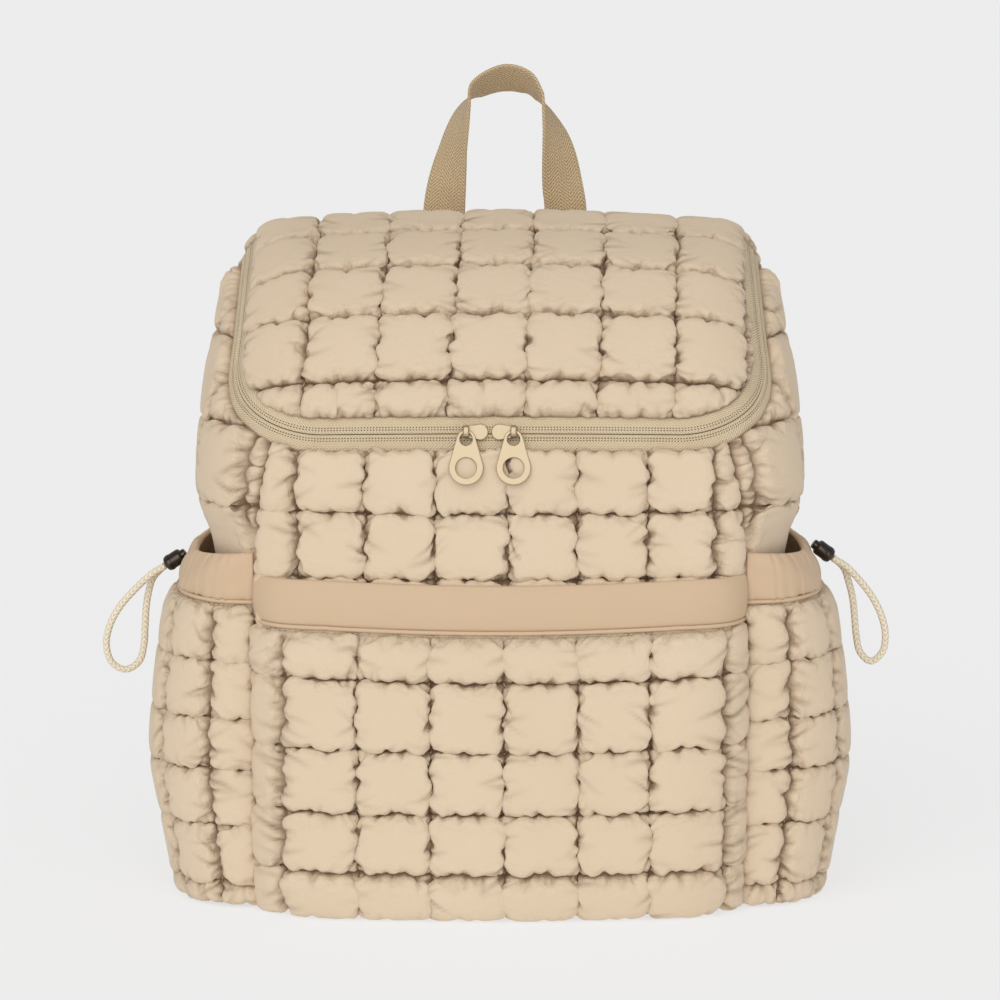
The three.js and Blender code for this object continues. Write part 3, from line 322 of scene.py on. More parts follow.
# Rings of a flat section carried along a path, its width held as near to across as it goes
def sweep(centres, across, section):
    centres = np.asarray(centres, float)
    across = np.broadcast_to(np.asarray(across, float), centres.shape)
    ahead = unit(np.gradient(centres, axis=0))
    wide = unit(across - ahead * (ahead * across).sum(axis=-1, keepdims=True))
    thin = np.cross(ahead, wide)
    section = np.broadcast_to(section, (len(centres),) + np.shape(section)[-2:])
    return centres[:, None] + wide[:, None] * section[..., :1] + thin[:, None] * section[..., 1:]


# A web's section: flat faces and round selvedges
def webSection(width, thickness, facing=10, turning=5):
    half, radius = width / 2 - thickness / 2, thickness / 2
    angle = np.linspace(-math.pi / 2, math.pi / 2, turning + 2)
    right = np.stack([half + radius * np.cos(angle), radius * np.sin(angle)], axis=-1)
    top = np.stack([np.linspace(half, -half, facing)[1:-1], np.full(facing - 2, radius)], axis=-1)
    return np.vstack([right, top, -right, -top])


def roundSection(radius, count=12):
    angle = np.arange(count) * 2 * math.pi / count
    return np.stack([np.cos(angle), np.sin(angle)], axis=-1) * radius


# Hard pieces start as primitives or curves in their own frame and are then set in place
def setInPlace(piece, origin, right, up, out):
    columns = [list(map(float, axis)) for axis in (right, up, out, toMetres(origin))]
    piece.matrix_world = Matrix([[column[row] for column in columns] for row in range(3)] + [[0, 0, 0, 1]])
    bpy.context.view_layer.update()
    selectOnly(piece)
    bpy.ops.object.transform_apply(location=True, rotation=True, scale=True)


def finishHard(piece, material, nodes, bodyName="bag"):
    selectOnly(piece)
    bpy.ops.object.shade_smooth_by_angle(angle=math.radians(35))
    piece.data.materials.clear()
    piece.data.materials.append(material)
    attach(piece, bodyName)
    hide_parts(*nodes)
    return piece


# A flat plate with holes and rolled edges, from outlines in mm already drawn in by the edge's radius
def cutPlate(name, outlines, thickness, edge):
    curve = bpy.data.curves.new(name, "CURVE")
    curve.dimensions = "2D"
    curve.fill_mode = "BOTH"
    curve.extrude = (thickness / 2 - edge) * mm
    curve.bevel_depth = edge * mm
    curve.bevel_resolution = 3
    for outline in outlines:
        spline = curve.splines.new("POLY")
        spline.points.add(len(outline) - 1)
        for point, (x, y) in zip(spline.points, outline):
            point.co = (x * mm, y * mm, 0, 1)
        spline.use_cyclic_u = True
    selectOnly(addObject(name, curve))
    bpy.ops.object.convert(target="MESH")
    return bpy.context.object


def joinPieces(pieces, name):
    selectOnly(pieces[0])
    for piece in pieces[1:]:
        piece.select_set(True)
    bpy.ops.object.join()
    pieces[0].name = name
    return pieces[0]


def applyModifier(piece, kind, **settings):
    added = piece.modifiers.new(kind.lower(), kind)
    for name, value in settings.items():
        setattr(added, name, value)
    bpy.context.view_layer.objects.active = piece
    bpy.ops.object.modifier_apply(modifier=added.name)


# Drawcords: each a limp loop that leaves its cord lock, hangs, turns and goes back into it
drawcord = {"diameter": 4, "left": [
    [-193.7, 5.2, 188.1], [-200.3, 4.4, 184.4], [-209.5, 3.4, 176.3], [-219.7, 2.6, 164.8],
    [-225.6, 2, 153.9], [-227.7, 2.2, 142.4], [-224.6, 3.4, 131.9], [-216.8, 5.4, 127.6],
    [-209.4, 7.6, 132], [-206.6, 9.2, 141.3], [-205.9, 10.2, 151.6], [-205.3, 10.9, 162],
    [-203.9, 11.2, 171.2], [-200.9, 11, 180.6], [-193.7, 10.8, 188.1],
], "right": [
    [192.4, 5.2, 192.7], [199.8, 4.4, 188.2], [208, 3.4, 179.8], [215.4, 2.6, 170], [220.6, 2, 159.2],
    [222.8, 2.2, 148.6], [221.4, 3.4, 138.4], [215, 5.4, 132.4], [209, 7.6, 137.2], [206.6, 9.2, 147],
    [205.6, 10.2, 158], [204.4, 10.9, 168.5], [202.2, 11.2, 177.6], [199, 11, 186.4], [192.4, 10.8, 192.7]]}
cordLock = {"width": 12.5, "height": 9,    # parts: barrel, plunger, rim as size share, depth, shift, edge
            "parts": ((1, 11, 0, 1.8), (0.62, 5, -5.5, 0.9), (1.045, 2.6, 2.6, 0.6)),
            "left": ([-188.4, 8, 191.5], [-0.84, 0, -0.54]), "right": ([187.3, 8, 196.5], [0.8, 0, -0.6])}


# An oval barrel with a plunger that sticks out and a rim round it, each a rounded cylinder
def makeCordLock(side):
    centre, ahead = cordLock[side]
    out = unit(np.array(ahead, float))
    wide = np.array([0.0, 1, 0])
    parts = []
    for radius, depth, shift, edge in cordLock["parts"]:
        bpy.ops.mesh.primitive_cylinder_add(vertices=40, radius=1, depth=1, location=(0, 0, shift * mm))
        part = bpy.context.object
        part.scale = (cordLock["width"] / 2 * radius * mm, cordLock["height"] / 2 * radius * mm, depth * mm)
        bpy.ops.object.transform_apply(location=True, rotation=True, scale=True)
        applyModifier(part, "BEVEL", width=edge * mm, segments=4, limit_method="ANGLE")
        parts.append(part)
    lock = joinPieces(parts, "cordLock" + side.capitalize())
    setInPlace(lock, centre, wide, np.cross(out, wide), out)
    return finishHard(lock, lockMetal, ["cord_lock_" + side])


def makeDrawcord(side):
    path = smoothRun(drawcord[side], 168)
    rings = sweep(path, [0, 1, 0.02], roundSection(drawcord["diameter"] / 2))
    cord = loftPiece("drawcord" + side.capitalize(), rings, cordCloth, ["drawcord_" + side],
                     along=runLength(path))
    makeCordLock(side)


for side in ("left", "right"):
    makeDrawcord(side)
print("cords hung")


# The body's side profile, seams and pockets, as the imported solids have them
body = {"height": 386, "depth": 160, "halfWidth": 166, "crown": 5, "footHeight": 25, "backSeam": 138}
profileRows = np.array([   # depth share, height share, edge radius share
    [-0.468, 0.003, 0.36], [-0.484, 0.04, 0.36], [-0.497, 0.12, 0.36], [-0.5, 0.31, 0.36],
    [-0.491, 0.54, 0.36], [-0.478, 0.69, 0.36], [-0.405, 0.78, 0.355], [-0.25, 0.876, 0.33],
    [-0.05, 0.943, 0.28], [0.1875, 0.982, 0.21], [0.37, 1, 0.16], [0.462, 0.982, 0.16],
    [0.497, 0.93, 0.17], [0.5, 0.8, 0.21], [0.5, 0.39, 0.24], [0.492, 0.08, 0.24], [0.455, 0.003, 0.24]])
widthRows = [[0, 0.875], [0.15, 0.89], [0.39, 0.915], [0.52, 0.965], [0.6, 1], [0.75, 0.985],
             [0.855, 0.95], [0.95, 0.92], [1, 0.905]]
seamRows = [[0, 0.837], [0.5, 0.837], [0.62, 0.81], [0.74, 0.745], [0.9, 0.62], [1, 0.53]]
pocketOutRows = [[0, 0.915], [0.04, 0.937], [0.13, 0.95], [0.28, 0.98], [0.4, 1], [0.61, 0.984],
                 [0.79, 0.956], [0.86, 0.938], [0.93, 0.915], [1, 0.872]]
zipper = {"height": 275, "half": 157, "backHalf": 150, "corner": 58, "tape": 9.2, "slit": 0.8,
          "endMargin": 4, "under": 0.6}     # the quilting reaches this far under the tapes
frontPocketSizes = {"top": 196, "band": 26, "cavity": 7, "floor": 2, "edgeRun": 22, "wall": 3}
sidePocketSizes = {"top": 207, "band": 28, "halfWidth": 193.5, "roundness": 2.5, "inset": 3, "wall": 3}


def readTable(rows, size):
    fine = smoothRun(rows, 24 * len(rows))
    return lambda z, whole: np.interp(np.asarray(z, float) / whole, fine[:, 0], fine[:, 1]) * size


halfWidth = readTable(widthRows, body["halfWidth"])
frontSeam = readTable(seamRows, body["halfWidth"])
pocketOut = readTable(pocketOutRows, sidePocketSizes["halfWidth"])


def makeProfile():
    scale = [body["depth"], body["height"], body["halfWidth"]]
    fine = smoothRun(profileRows * scale, 26 * len(profileRows))
    steps = np.hypot(*np.diff(fine[:, :2], axis=0).T)
    along = np.concatenate([[0], np.cumsum(steps)])
    ahead = unit(np.vstack([fine[1] - fine[0], fine[2:] - fine[:-2], fine[-1] - fine[-2]])[:, :2])
    return {"along": along, "y": fine[:, 0], "z": fine[:, 1], "round": fine[:, 2],
            "ny": -ahead[:, 1], "nz": ahead[:, 0]}     # ny and nz point outward


profile = makeProfile()
topIndex = int(np.argmax(profile["z"]))
topAlong = profile["along"][topIndex]
wholeAlong = profile["along"][-1]


def alongAt(height, atBack=False):
    if atBack:
        return np.interp(height, profile["z"][:topIndex - 1:-1], profile["along"][:topIndex - 1:-1])
    return np.interp(height, profile["z"][:topIndex + 1], profile["along"][:topIndex + 1])


# Half width of the body where its rounded edge has sunk from the profile's height to z
def edgeWidth(profileZ, z, sunk):
    share = np.minimum(sunk, 1) ** 3
    return halfWidth(profileZ, body["height"]) * (1 - share) + halfWidth(z, body["height"]) * share


# Outer skin of front, lid and back: across is the width laid flat, along runs over the top
def bodySkin(across, along):
    across, along = np.broadcast_arrays(np.asarray(across, float), np.asarray(along, float))
    y, z, ny, nz, rounding = (np.interp(along, profile["along"], profile[name])
                              for name in ("y", "z", "ny", "nz", "round"))
    nz = np.where(nz < 0, nz * np.minimum(z / body["footHeight"], 1), nz)
    flat = halfWidth(z, body["height"]) - rounding
    reach = np.abs(across)
    bend = np.clip((reach - flat) / rounding, 0, math.pi / 2)
    drop = rounding * (1 - np.cos(bend)) + body["crown"] * np.minimum(reach / flat, 1) ** 2
    wide = edgeWidth(z, z - nz * drop, 1 - np.cos(bend))
    x = np.where(bend > 0, wide - rounding + rounding * np.sin(bend), reach)
    return np.stack([np.sign(across) * x, y - ny * drop, z - nz * drop], axis=-1)


# Outer skin of the right side, over its side view
def sideSkin(y, z):
    y, z = np.broadcast_arrays(np.asarray(y, float), np.asarray(z, float))
    run = np.stack([profile["y"], profile["z"]], axis=-1)
    steps = run[1:] - run[:-1]
    away = np.stack([y, z], axis=-1)[..., None, :] - run[:-1]
    share = np.clip((away * steps).sum(-1) / (steps ** 2).sum(-1), 0, 1)
    distance = np.linalg.norm(away - steps * share[..., None], axis=-1)
    best = distance.argmin(axis=-1)
    pick = lambda values: np.take_along_axis(values, best[..., None], axis=-1)[..., 0]
    part = pick(share)
    profileZ = profile["z"][best] + steps[best, 1] * part
    rounding = profile["round"][best] + (profile["round"][best + 1] - profile["round"][best]) * part
    sunk = np.clip((pick(distance) - body["crown"]) / rounding, 0, 1)
    wide = edgeWidth(profileZ, z, sunk)
    return np.stack([wide - rounding + rounding * np.sqrt(1 - (1 - sunk) ** 2), y, z], axis=-1)


def makePlanCurve():
    turn = (np.arange(201) / 200 - 0.5) * math.pi
    power = 2 / sidePocketSizes["roundness"]
    out = np.maximum(np.cos(turn), 0) ** power
    back = np.sign(turn) * np.abs(np.sin(turn)) ** power
    sizeOut = sidePocketSizes["halfWidth"] - frontSeam(0, body["height"])
    steps = np.hypot(np.diff(out) * sizeOut, np.diff(back) * body["depth"] / 2)
    return out, back, np.concatenate([[0], np.cumsum(steps)])


planOut, planBack, planRun = makePlanCurve()
planLength = planRun[-1]


# Outer skin of the right side pocket: around runs from its front seam to its back seam
def pocketSkin(around, z):
    around, z = np.broadcast_arrays(np.asarray(around, float), np.asarray(z, float))
    out = np.interp(around, planRun, planOut)
    back = (np.interp(around, planRun, planBack) + 1) / 2
    low = np.maximum(z, frontPocketSizes["floor"])
    front = bodySkin(frontSeam(low, body["height"]) + sidePocketSizes["inset"], alongAt(low))
    rear = bodySkin(body["backSeam"] + sidePocketSizes["inset"], alongAt(low, True))
    x = front[..., 0] + (rear[..., 0] - front[..., 0]) * back
    reach = x + out * (pocketOut(z, sidePocketSizes["top"]) - x)
    return np.stack([reach, front[..., 1] + (rear[..., 1] - front[..., 1]) * back, z], axis=-1)


def skinNormals(skin, u, v, step=0.4):
    across = skin(u + step, v) - skin(u - step, v)
    up = skin(u, v + step) - skin(u, v - step)
    return unit(np.cross(across, up))


# The zip's U laid flat, at a distance outward from its slit
zipAlong = alongAt(zipper["height"])


def zipLine(outward):
    reach, low, radius = zipper["half"] + outward, zipAlong - outward, zipper["corner"] + outward
    angle = np.linspace(0, math.pi / 2, 25)
    corner = np.stack([reach - radius + radius * np.sin(angle),
                       low + radius - radius * np.cos(angle)], axis=-1)
    right = np.vstack([corner, [zipper["backHalf"] + outward, topAlong - zipper["endMargin"]]])
    return np.vstack([(right * [-1, 1])[::-1], right])


# Grid lines with one on every seam, and marks that tell which those are
def gridLines(seams, spacing):
    lines, marks = [seams[0]], [True]
    for low, high in zip(seams, seams[1:]):
        count = max(1, round((high - low) / spacing))
        lines += [low + (high - low) * place / count for place in range(1, count + 1)]
        marks += [False] * (count - 1) + [True]
    return np.array(lines), np.array(marks)


# Nearest places on a closed outline, with distances, inside being positive
def toOutline(points, outline):
    ends = np.roll(outline, -1, axis=0)
    steps = ends - outline
    away = points[:, None, :] - outline[None]
    share = np.clip((away * steps).sum(-1) / np.maximum((steps ** 2).sum(-1), 1e-12), 0, 1)
    spots = outline[None] + steps[None] * share[..., None]
    distance = np.linalg.norm(points[:, None, :] - spots, axis=-1)
    best = distance.argmin(axis=1)
    rows = np.arange(len(points))
    above = (outline[None, :, 1] > points[:, 1:2]) != (ends[None, :, 1] > points[:, 1:2])
    slope = steps[None, :, 0] * (points[:, 1:2] - outline[None, :, 1]) / np.where(
        steps[None, :, 1] == 0, 1e-12, steps[None, :, 1]) + outline[None, :, 0]
    inside = (above & (points[:, 0:1] < slope)).sum(axis=1) % 2 == 1
    return spots[rows, best], np.where(inside, 1, -1) * distance[rows, best]


# Flat cloth in squares, cut along an outline by drawing the nearest corners onto it
def layCloth(columns, rows, spacing, outline=None):
    us, uMarks = gridLines(columns, spacing)
    vs, vMarks = gridLines(rows, spacing)
    flat = np.stack(np.meshgrid(us, vs), axis=-1).reshape(-1, 2)
    upright = np.tile(uMarks, len(vs))
    level = np.repeat(vMarks, len(us))
    wide = len(us)
    corner = (np.arange(len(vs) - 1)[:, None] * wide + np.arange(wide - 1)[None]).ravel()
    quads = np.stack([corner, corner + 1, corner + wide + 1, corner + wide], axis=-1)
    faces = [tuple(quad) for quad in quads]
    if outline is not None:
        near, depth = toOutline(flat, np.asarray(outline, float))
        snap = 0.55 * spacing
        flat = np.where((np.abs(depth) < snap)[:, None], near, flat)
        faces = []
        for quad in quads:
            ring = [int(corner) for corner in quad if depth[corner] > -snap]
            if len(ring) < 3:
                continue
            x, y = flat[ring].T
            area = abs(np.dot(x, np.roll(y, -1)) - np.dot(y, np.roll(x, -1))) / 2
            if area > 0.02 * spacing ** 2:
                faces.append(tuple(ring))
    used = sorted({corner for face in faces for corner in face})
    renumber = {old: new for new, old in enumerate(used)}
    faces = [tuple(renumber[corner] for corner in face) for face in faces]
    edges = {}
    for face in faces:
        for a, b in zip(face, face[1:] + face[:1]):
            edge = (min(a, b), max(a, b))
            edges[edge] = edges.get(edge, 0) + 1
    border = np.zeros(len(used), bool)
    border[[corner for edge, count in edges.items() if count == 1 for corner in edge]] = True
    return {"flat": flat[used], "faces": faces, "seam": upright[used] | level[used] | border,
            "border": border, "upright": upright[used]}


# Quilting in mm: seams pinned at a depth, pillows that rise to a cap, and a border turned in by an allowance
quilt = {"scale": 20,     # the solver works better on large cloth, so panels are simulated this much larger
         "frames": 20, "spacing": 2.15, "depth": 2.0, "start": 1.0, "cap": 7.4, "allowance": 3.5,
         "ground": 0.3, "quality": 6, "mass": 0.3, "stretch": 15, "shear": 5, "bending": 0.1,
         "gravity": 0.12, "shrink": -0.52, "pressure": 24}
puckers = ((0, 5.5, 2.1), (1, 8, 0.8))      # axis, pitch and swing of the upright rows, then the level ones
waiting = []


def zigzagRun(along, pitch, size):
    knots = np.arange(along.min() - pitch, along.max() + 2 * pitch, pitch)
    knots = knots + draw.uniform(-0.3, 0.3, len(knots)) * pitch
    swing = draw.uniform(0.25, 1, len(knots)) * np.where(np.arange(len(knots)) % 2, 1, -1)
    return np.interp(along, knots, swing * size)


# Stitching wanders: the cloth bunches along it, more along the upright rows
def puckerSeams(cloth, columns, rows):
    flat = cloth["flat"]
    moved = flat.copy()
    inner = cloth["seam"] & ~cloth["border"]
    for (axis, pitch, size), lines in zip(puckers, (columns, rows)):
        for line in lines:
            on = np.flatnonzero(inner & (np.abs(flat[:, axis] - line) < 0.05))
            if len(on):
                moved[on, axis] += zigzagRun(flat[on, 1 - axis], pitch, size)
    return moved


# Cloth pinned along its stitching, which waits for the simulation
def quiltPanel(name, node, columns, rows, skin, outline=None, lift=None, cap=None, mirror=False,
               spacing=quilt["spacing"], pressure=quilt["pressure"], shrink=quilt["shrink"], finish="nylon"):
    cloth = layCloth(columns, rows, spacing, outline)
    u, v = puckerSeams(cloth, columns, rows).T
    base = skin(u, v)
    normals = skinNormals(skin, u, v)
    if lift is not None:
        base = base + normals * lift(u, v)[:, None]
    seam = cloth["seam"]
    start = base + normals * np.where(seam, -quilt["depth"], quilt["start"])[:, None]
    start = start + draw.normal(0, 1, start.shape) * np.where(seam & ~cloth["border"], 0.4, 0.12)[:, None]
    height = np.full(len(u), quilt["cap"]) if cap is None else cap(u, v)
    if mirror:
        start, base, normals = (values * [-1, 1, 1] for values in (start, base, normals))
        cloth["faces"] = [face[::-1] for face in cloth["faces"]]
    mesh = bpy.data.meshes.new(name)
    mesh.from_pydata((start * mm * quilt["scale"]).tolist(), [], cloth["faces"])
    piece = addObject(name, mesh)
    pinned = piece.vertex_groups.new(name="stitched")
    pinned.add([int(spot) for spot in np.flatnonzero(seam)], 1.0, "REPLACE")
    fabric = piece.modifiers.new("cloth", "CLOTH")
    settings = fabric.settings
    settings.vertex_group_mass = pinned.name
    settings.quality = quilt["quality"]
    settings.mass = quilt["mass"]
    settings.tension_stiffness = quilt["stretch"]
    settings.compression_stiffness = quilt["stretch"]
    settings.shear_stiffness = quilt["shear"]
    settings.bending_stiffness = quilt["bending"]
    settings.shrink_min = shrink
    settings.use_pressure = True
    settings.uniform_pressure_force = pressure
    settings.effector_weights.gravity = quilt["gravity"]
    fabric.collision_settings.use_collision = False
    fabric.point_cache.frame_start = 1
    fabric.point_cache.frame_end = quilt["frames"]
    cloth.update(name=name, node=node, piece=piece, base=base, normals=normals, start=start, cap=height,
                 columns=columns, rows=rows, finish=finish)
    waiting.append(cloth)


# Runs the simulation on every waiting panel at once; the wadding caps how high each pillow stands
def puffPanels():
    scene = bpy.context.scene
    for number in range(1, quilt["frames"] + 1):
        scene.frame_set(number)
    graph = bpy.context.evaluated_depsgraph_get()
    for cloth in waiting:
        piece = cloth["piece"]
        points = np.empty(3 * len(piece.data.vertices))
        piece.evaluated_get(graph).data.vertices.foreach_get("co", points)
        points = points.reshape(-1, 3) / (mm * quilt["scale"])
        rise = ((points - cloth["base"]) * cloth["normals"]).sum(axis=1)
        held = np.where(rise > 0, rise / (1 + (np.maximum(rise, 0) / cloth["cap"]) ** 4) ** 0.25, rise)
        points = points + cloth["normals"] * (held - rise)[:, None]
        points[:, 2] = np.maximum(points[:, 2], 0.4)
        cloth.update(points=points, held=held)
        print(cloth["name"], "rises to", round(float(rise.max()), 1), "mm before the wadding's cap")
    scene.frame_set(1)


# Small tucks that run out from the stitching, long and level beside the upright rows
tucks = {"runs": ((0, 18, 1.7), (1, 12, 1.1)),    # axis, longest and deepest for each way of stitching
         "reach": 22, "window": 12, "deepest": 1.7}


def tuckDepth(flat, columns, rows):
    dip = np.zeros(len(flat))
    for (axis, longest, deepest), lines in zip(tucks["runs"], (columns, rows)):
        for line in lines:
            for side in (-1, 1):
                away = (flat[:, axis] - line) * side
                beside = np.flatnonzero((away >= 0) & (away < tucks["reach"]))
                beside = beside[np.argsort(flat[beside, 1 - axis])]
                run, far = flat[beside, 1 - axis], away[beside]
                if not len(run):
                    continue
                spot = run[0] + draw.uniform(0, 6)
                while spot < run[-1]:
                    low, high = np.searchsorted(run, [spot - tucks["window"], spot + tucks["window"]])
                    reach, lean = draw.uniform(0.35, 1) * longest, draw.normal(0, 0.4)
                    width, deep = draw.uniform(0.7, 1.2), draw.uniform(0.3, 1) ** 1.5 * deepest
                    off = (run[low:high] - spot - lean * far[low:high]) / width
                    fade = np.clip(1 - far[low:high] / reach, 0, 1) * np.minimum(far[low:high] / 1.2, 1)
                    dip[beside[low:high]] += deep * np.exp(-off ** 2) * fade
                    spot += draw.uniform(2.5, 7.5)
    return np.minimum(dip, tucks["deepest"])


def seamCloseness(flat, columns, rows):
    gap = np.full(len(flat), 99.0)
    for axis, lines in ((0, columns), (1, rows)):
        for line in lines:
            gap = np.minimum(gap, np.abs(flat[:, axis] - line))
    return np.exp(-gap / 6)


def readArray(items, name, width, kind=float):
    values = np.empty(len(items) * width, kind)
    items.foreach_get(name, values)
    return values.reshape(-1, width) if width > 1 else values


def layFlat(mesh, flat):
    corners = readArray(mesh.loops, "vertex_index", 1, int)
    mesh.uv_layers.new(name="laid").data.foreach_set("uv", (flat[corners] / uvUnit).ravel())


def markPoints(mesh, marks):
    for name, values in marks.items():
        mesh.attributes.new(name, "FLOAT", "POINT").data.foreach_set("value", values.astype(np.float32))


# Subdivides a puffed panel, presses its tucks in, works out the painted shade of its hollows, and turns its
# border inward as a seam allowance
def finishPanel(cloth, material):
    piece = cloth["piece"]
    piece.modifiers.clear()
    piece.vertex_groups.clear()
    mesh = piece.data
    mesh.vertices.foreach_set("co", toMetres(cloth["points"]).ravel())
    layFlat(mesh, cloth["flat"])
    marks = {"held": cloth["held"], "cap": cloth["cap"]}
    marks.update(zip(("inwardX", "inwardY", "inwardZ"), -cloth["normals"].T))
    markPoints(mesh, marks)
    applyModifier(piece, "SUBSURF", levels=1, render_levels=1)
    mesh = piece.data
    corners = readArray(mesh.loops, "vertex_index", 1, int)
    spread = readArray(mesh.uv_layers["laid"].data, "uv", 2)
    flat = np.zeros((len(mesh.vertices), 2))
    flat[corners] = spread * uvUnit
    held, cap, *inward = (readArray(mesh.attributes[name].data, "value", 1) for name in marks)
    inward = unit(np.stack(inward, axis=-1))
    thick = np.clip((cap - 2.5) / 3, 0, 1)
    dip = tuckDepth(flat, cloth["columns"], cloth["rows"]) * thick
    # Painted shade for the colour: cloth sunk low towards the stitching, more beside the level rows, and the
    # tucks' hollows
    low = np.clip(1 - (held + 1.2) / (0.62 * quilt["cap"]), 0, 1) ** 1.4 * thick
    level = np.min([np.abs(flat[:, 1] - row) for row in cloth["rows"]], axis=0) < 9
    fold = np.clip(np.maximum(low * np.where(level, 0.95, 0.7), 0.5 * dip), 0, 0.9)
    points = readArray(mesh.vertices, "co", 3) - readArray(mesh.vertices, "normal", 3) * dip[:, None] * mm
    points[:, 2] = np.maximum(points[:, 2], quilt["ground"] * mm)
    counts = np.bincount(readArray(mesh.loops, "edge_index", 1, int), minlength=len(mesh.edges))
    border = [tuple(edge.vertices) for edge in mesh.edges if counts[edge.index] == 1]
    faces = [tuple(face.vertices) for face in mesh.polygons]
    order = {(a, b) for face in faces for a, b in zip(face, face[1:] + face[:1])}
    rim = sorted({corner for edge in border for corner in edge})
    turned = {corner: len(points) + place for place, corner in enumerate(rim)}
    rimPoints = points[rim] + inward[rim] * quilt["allowance"] * mm
    rimPoints[:, 2] = np.maximum(rimPoints[:, 2], quilt["ground"] * mm)
    for a, b in border:
        a, b = (a, b) if (a, b) in order else (b, a)
        faces.append((b, a, turned[a], turned[b]))
    close = seamCloseness(flat, cloth["columns"], cloth["rows"])
    final = bpy.data.meshes.new(cloth["name"])
    final.from_pydata(np.vstack([points, rimPoints]).tolist(), [], faces)
    layFlat(final, np.vstack([flat, flat[rim]]))
    # The turned-in border gets painted shade of 0.8 in its colour
    markPoints(final, {"nearSeam": np.append(close, np.full(len(rim), 1.0)),
                       "paintedFoldShade": np.append(fold, np.full(len(rim), 0.8))})
    final.shade_smooth()
    final.materials.append(material)
    piece.data = final
    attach(piece, "bag")
    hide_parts(cloth["node"])


# Thread: one short rounded stitch, copied along each row; pitch, length and lift are for topstitching
thread = {"radius": 0.32, "sides": 5, "taper": ((0, 0.35), (0.18, 1), (0.82, 1), (1, 0.35)),
          "pitch": 3.2, "length": 2.2, "lift": 0.25, "seamLift": 0.9}


def stitchPiece(name, starts, ends, lifts):
    sides, radius = thread["sides"], thread["radius"]
    ring = roundSection(1, sides)
    starts, ends = starts + lifts, ends + lifts
    ahead = unit(ends - starts)
    side = unit(np.cross(ahead, lifts))
    up = np.cross(side, ahead)
    rows = []
    for share, size in thread["taper"]:
        centre = starts + (ends - starts) * share + up * (0.6 * radius * (size - 1))
        rows.append(centre[:, None] + radius * size * (
            side[:, None] * ring[None, :, :1] + up[:, None] * ring[None, :, 1:]))
    points = np.stack(rows, axis=1).reshape(-1, 3)
    faces, corners = [], []
    for base in range(0, len(points), sides * len(rows)):
        for row in range(len(rows) - 1):
            low, high = base + row * sides, base + (row + 1) * sides
            for spot in range(sides):
                after = (spot + 1) % sides
                faces.append((low + spot, low + after, high + after, high + spot))
                corners += [(row, spot), (row, spot + 1), (row + 1, spot + 1), (row + 1, spot)]
        faces += [tuple(range(base + sides - 1, base - 1, -1)), tuple(range(high, high + sides))]
        corners += [(0, 0)] * 2 * sides
    addPiece(name, points, faces, corners, threadCloth)


# Stitches of the upright rows, two grid steps apart, standing a little clear of the pinned cloth
def seamStitches(cloth):
    flat, points = cloth["flat"], cloth["start"]
    starts, ends, lifts = [], [], []
    for line in cloth["columns"][1:-1]:
        on = np.flatnonzero(cloth["upright"] & ~cloth["border"] & (np.abs(flat[:, 0] - line) < 0.05))
        on = on[np.argsort(flat[on, 1])]
        for a, b in zip(on[:-1:2], on[1::2]):
            if flat[b, 1] - flat[a, 1] < 4:
                starts.append(points[a])
                ends.append(points[b])
                lifts.append(cloth["normals"][a] * thread["seamLift"])
    if starts:
        stitchPiece(cloth["name"] + "Stitches", *(np.array(values) for values in (starts, ends, lifts)))


def topstitch(name, path, normals):
    run = runLength(path)
    spots = np.arange(thread["pitch"] / 2, run[-1] - thread["length"], thread["pitch"])
    wanted = (spots, path), (spots + thread["length"], path), (spots, normals)
    starts, ends, up = (np.stack([np.interp(where, run, values[:, axis]) for axis in range(3)], axis=-1)
                        for where, values in wanted)
    stitchPiece(name, starts, ends, unit(up) * thread["lift"])


# How far the front pocket stands off the body, swelling away from its seams
def pocketLift(across, along):
    sizes = frontPocketSizes
    side = (frontSeam(0, body["height"]) - np.abs(across)) / sizes["edgeRun"]
    low = (along - alongAt(sizes["floor"])) / sizes["edgeRun"]
    opened = np.clip(np.minimum(side, low), 0, 1)
    return sizes["wall"] + sizes["cavity"] * np.sin(opened * math.pi / 2)


pocketEdge = float(frontSeam(0, body["height"])) - 0.25
pocketLow = float(alongAt(frontPocketSizes["floor"]))
bandLow = float(alongAt(frontPocketSizes["top"] - frontPocketSizes["band"]))
pocketHigh = float(alongAt(frontPocketSizes["top"]))


# The pocket's cloth hangs a little lower in the middle than at the side seams
pocketHang = 4.5


def hangingSkin(across, along):
    share = np.clip((along - pocketLow) / (bandLow - pocketLow), 0, 1)
    bow = np.cos(np.clip(across / pocketEdge, -1, 1) * math.pi / 2)
    return bodySkin(across, along - pocketHang * bow * share)


# Pillows start low under the flat strip that the band's topstitching holds down
strip = {"height": 3.4, "tuckedIn": 0.5, "easing": 13}


def belowBand(top):
    return lambda across, up: quilt["cap"] * np.clip((top - up) / strip["easing"], 0.02, 1) ** 0.5


def pocketRows(low, high, shares):
    rows = [low + (high + strip["tuckedIn"] - low) * share for share in shares]
    return [*rows, high - strip["height"], high + strip["tuckedIn"]]


# Seams are where the photograph shows them, in mm across from the middle and up along the cloth
quiltPanel("frontPocket", "front_pocket",
           [-pocketEdge, -117, -78.5, -38.3, 2.2, 42.7, 82.3, 121, pocketEdge],
           pocketRows(pocketLow, bandLow, [0, 0.165, 0.37, 0.585, 0.82]), hangingSkin, lift=pocketLift,
           cap=belowBand(bandLow - 3))

lidEdge = zipLine(-zipper["slit"] / 2 - zipper["tape"] + zipper["under"])
lidLow = float(lidEdge[:, 1].min())
lidHigh = float(lidEdge[:, 1].max())


# The lid's upright rows lean outward towards the top of the bag
def lidSkin(across, along):
    share = np.clip((along - lidLow) / 140, 0, 1)
    hold = 1 - np.clip(np.abs(across) / 150, 0, 1) ** 4
    return bodySkin(across + hold * (6.5 * share - 4.2 + 1.6 * (share - 1) * (across < 0)), along)


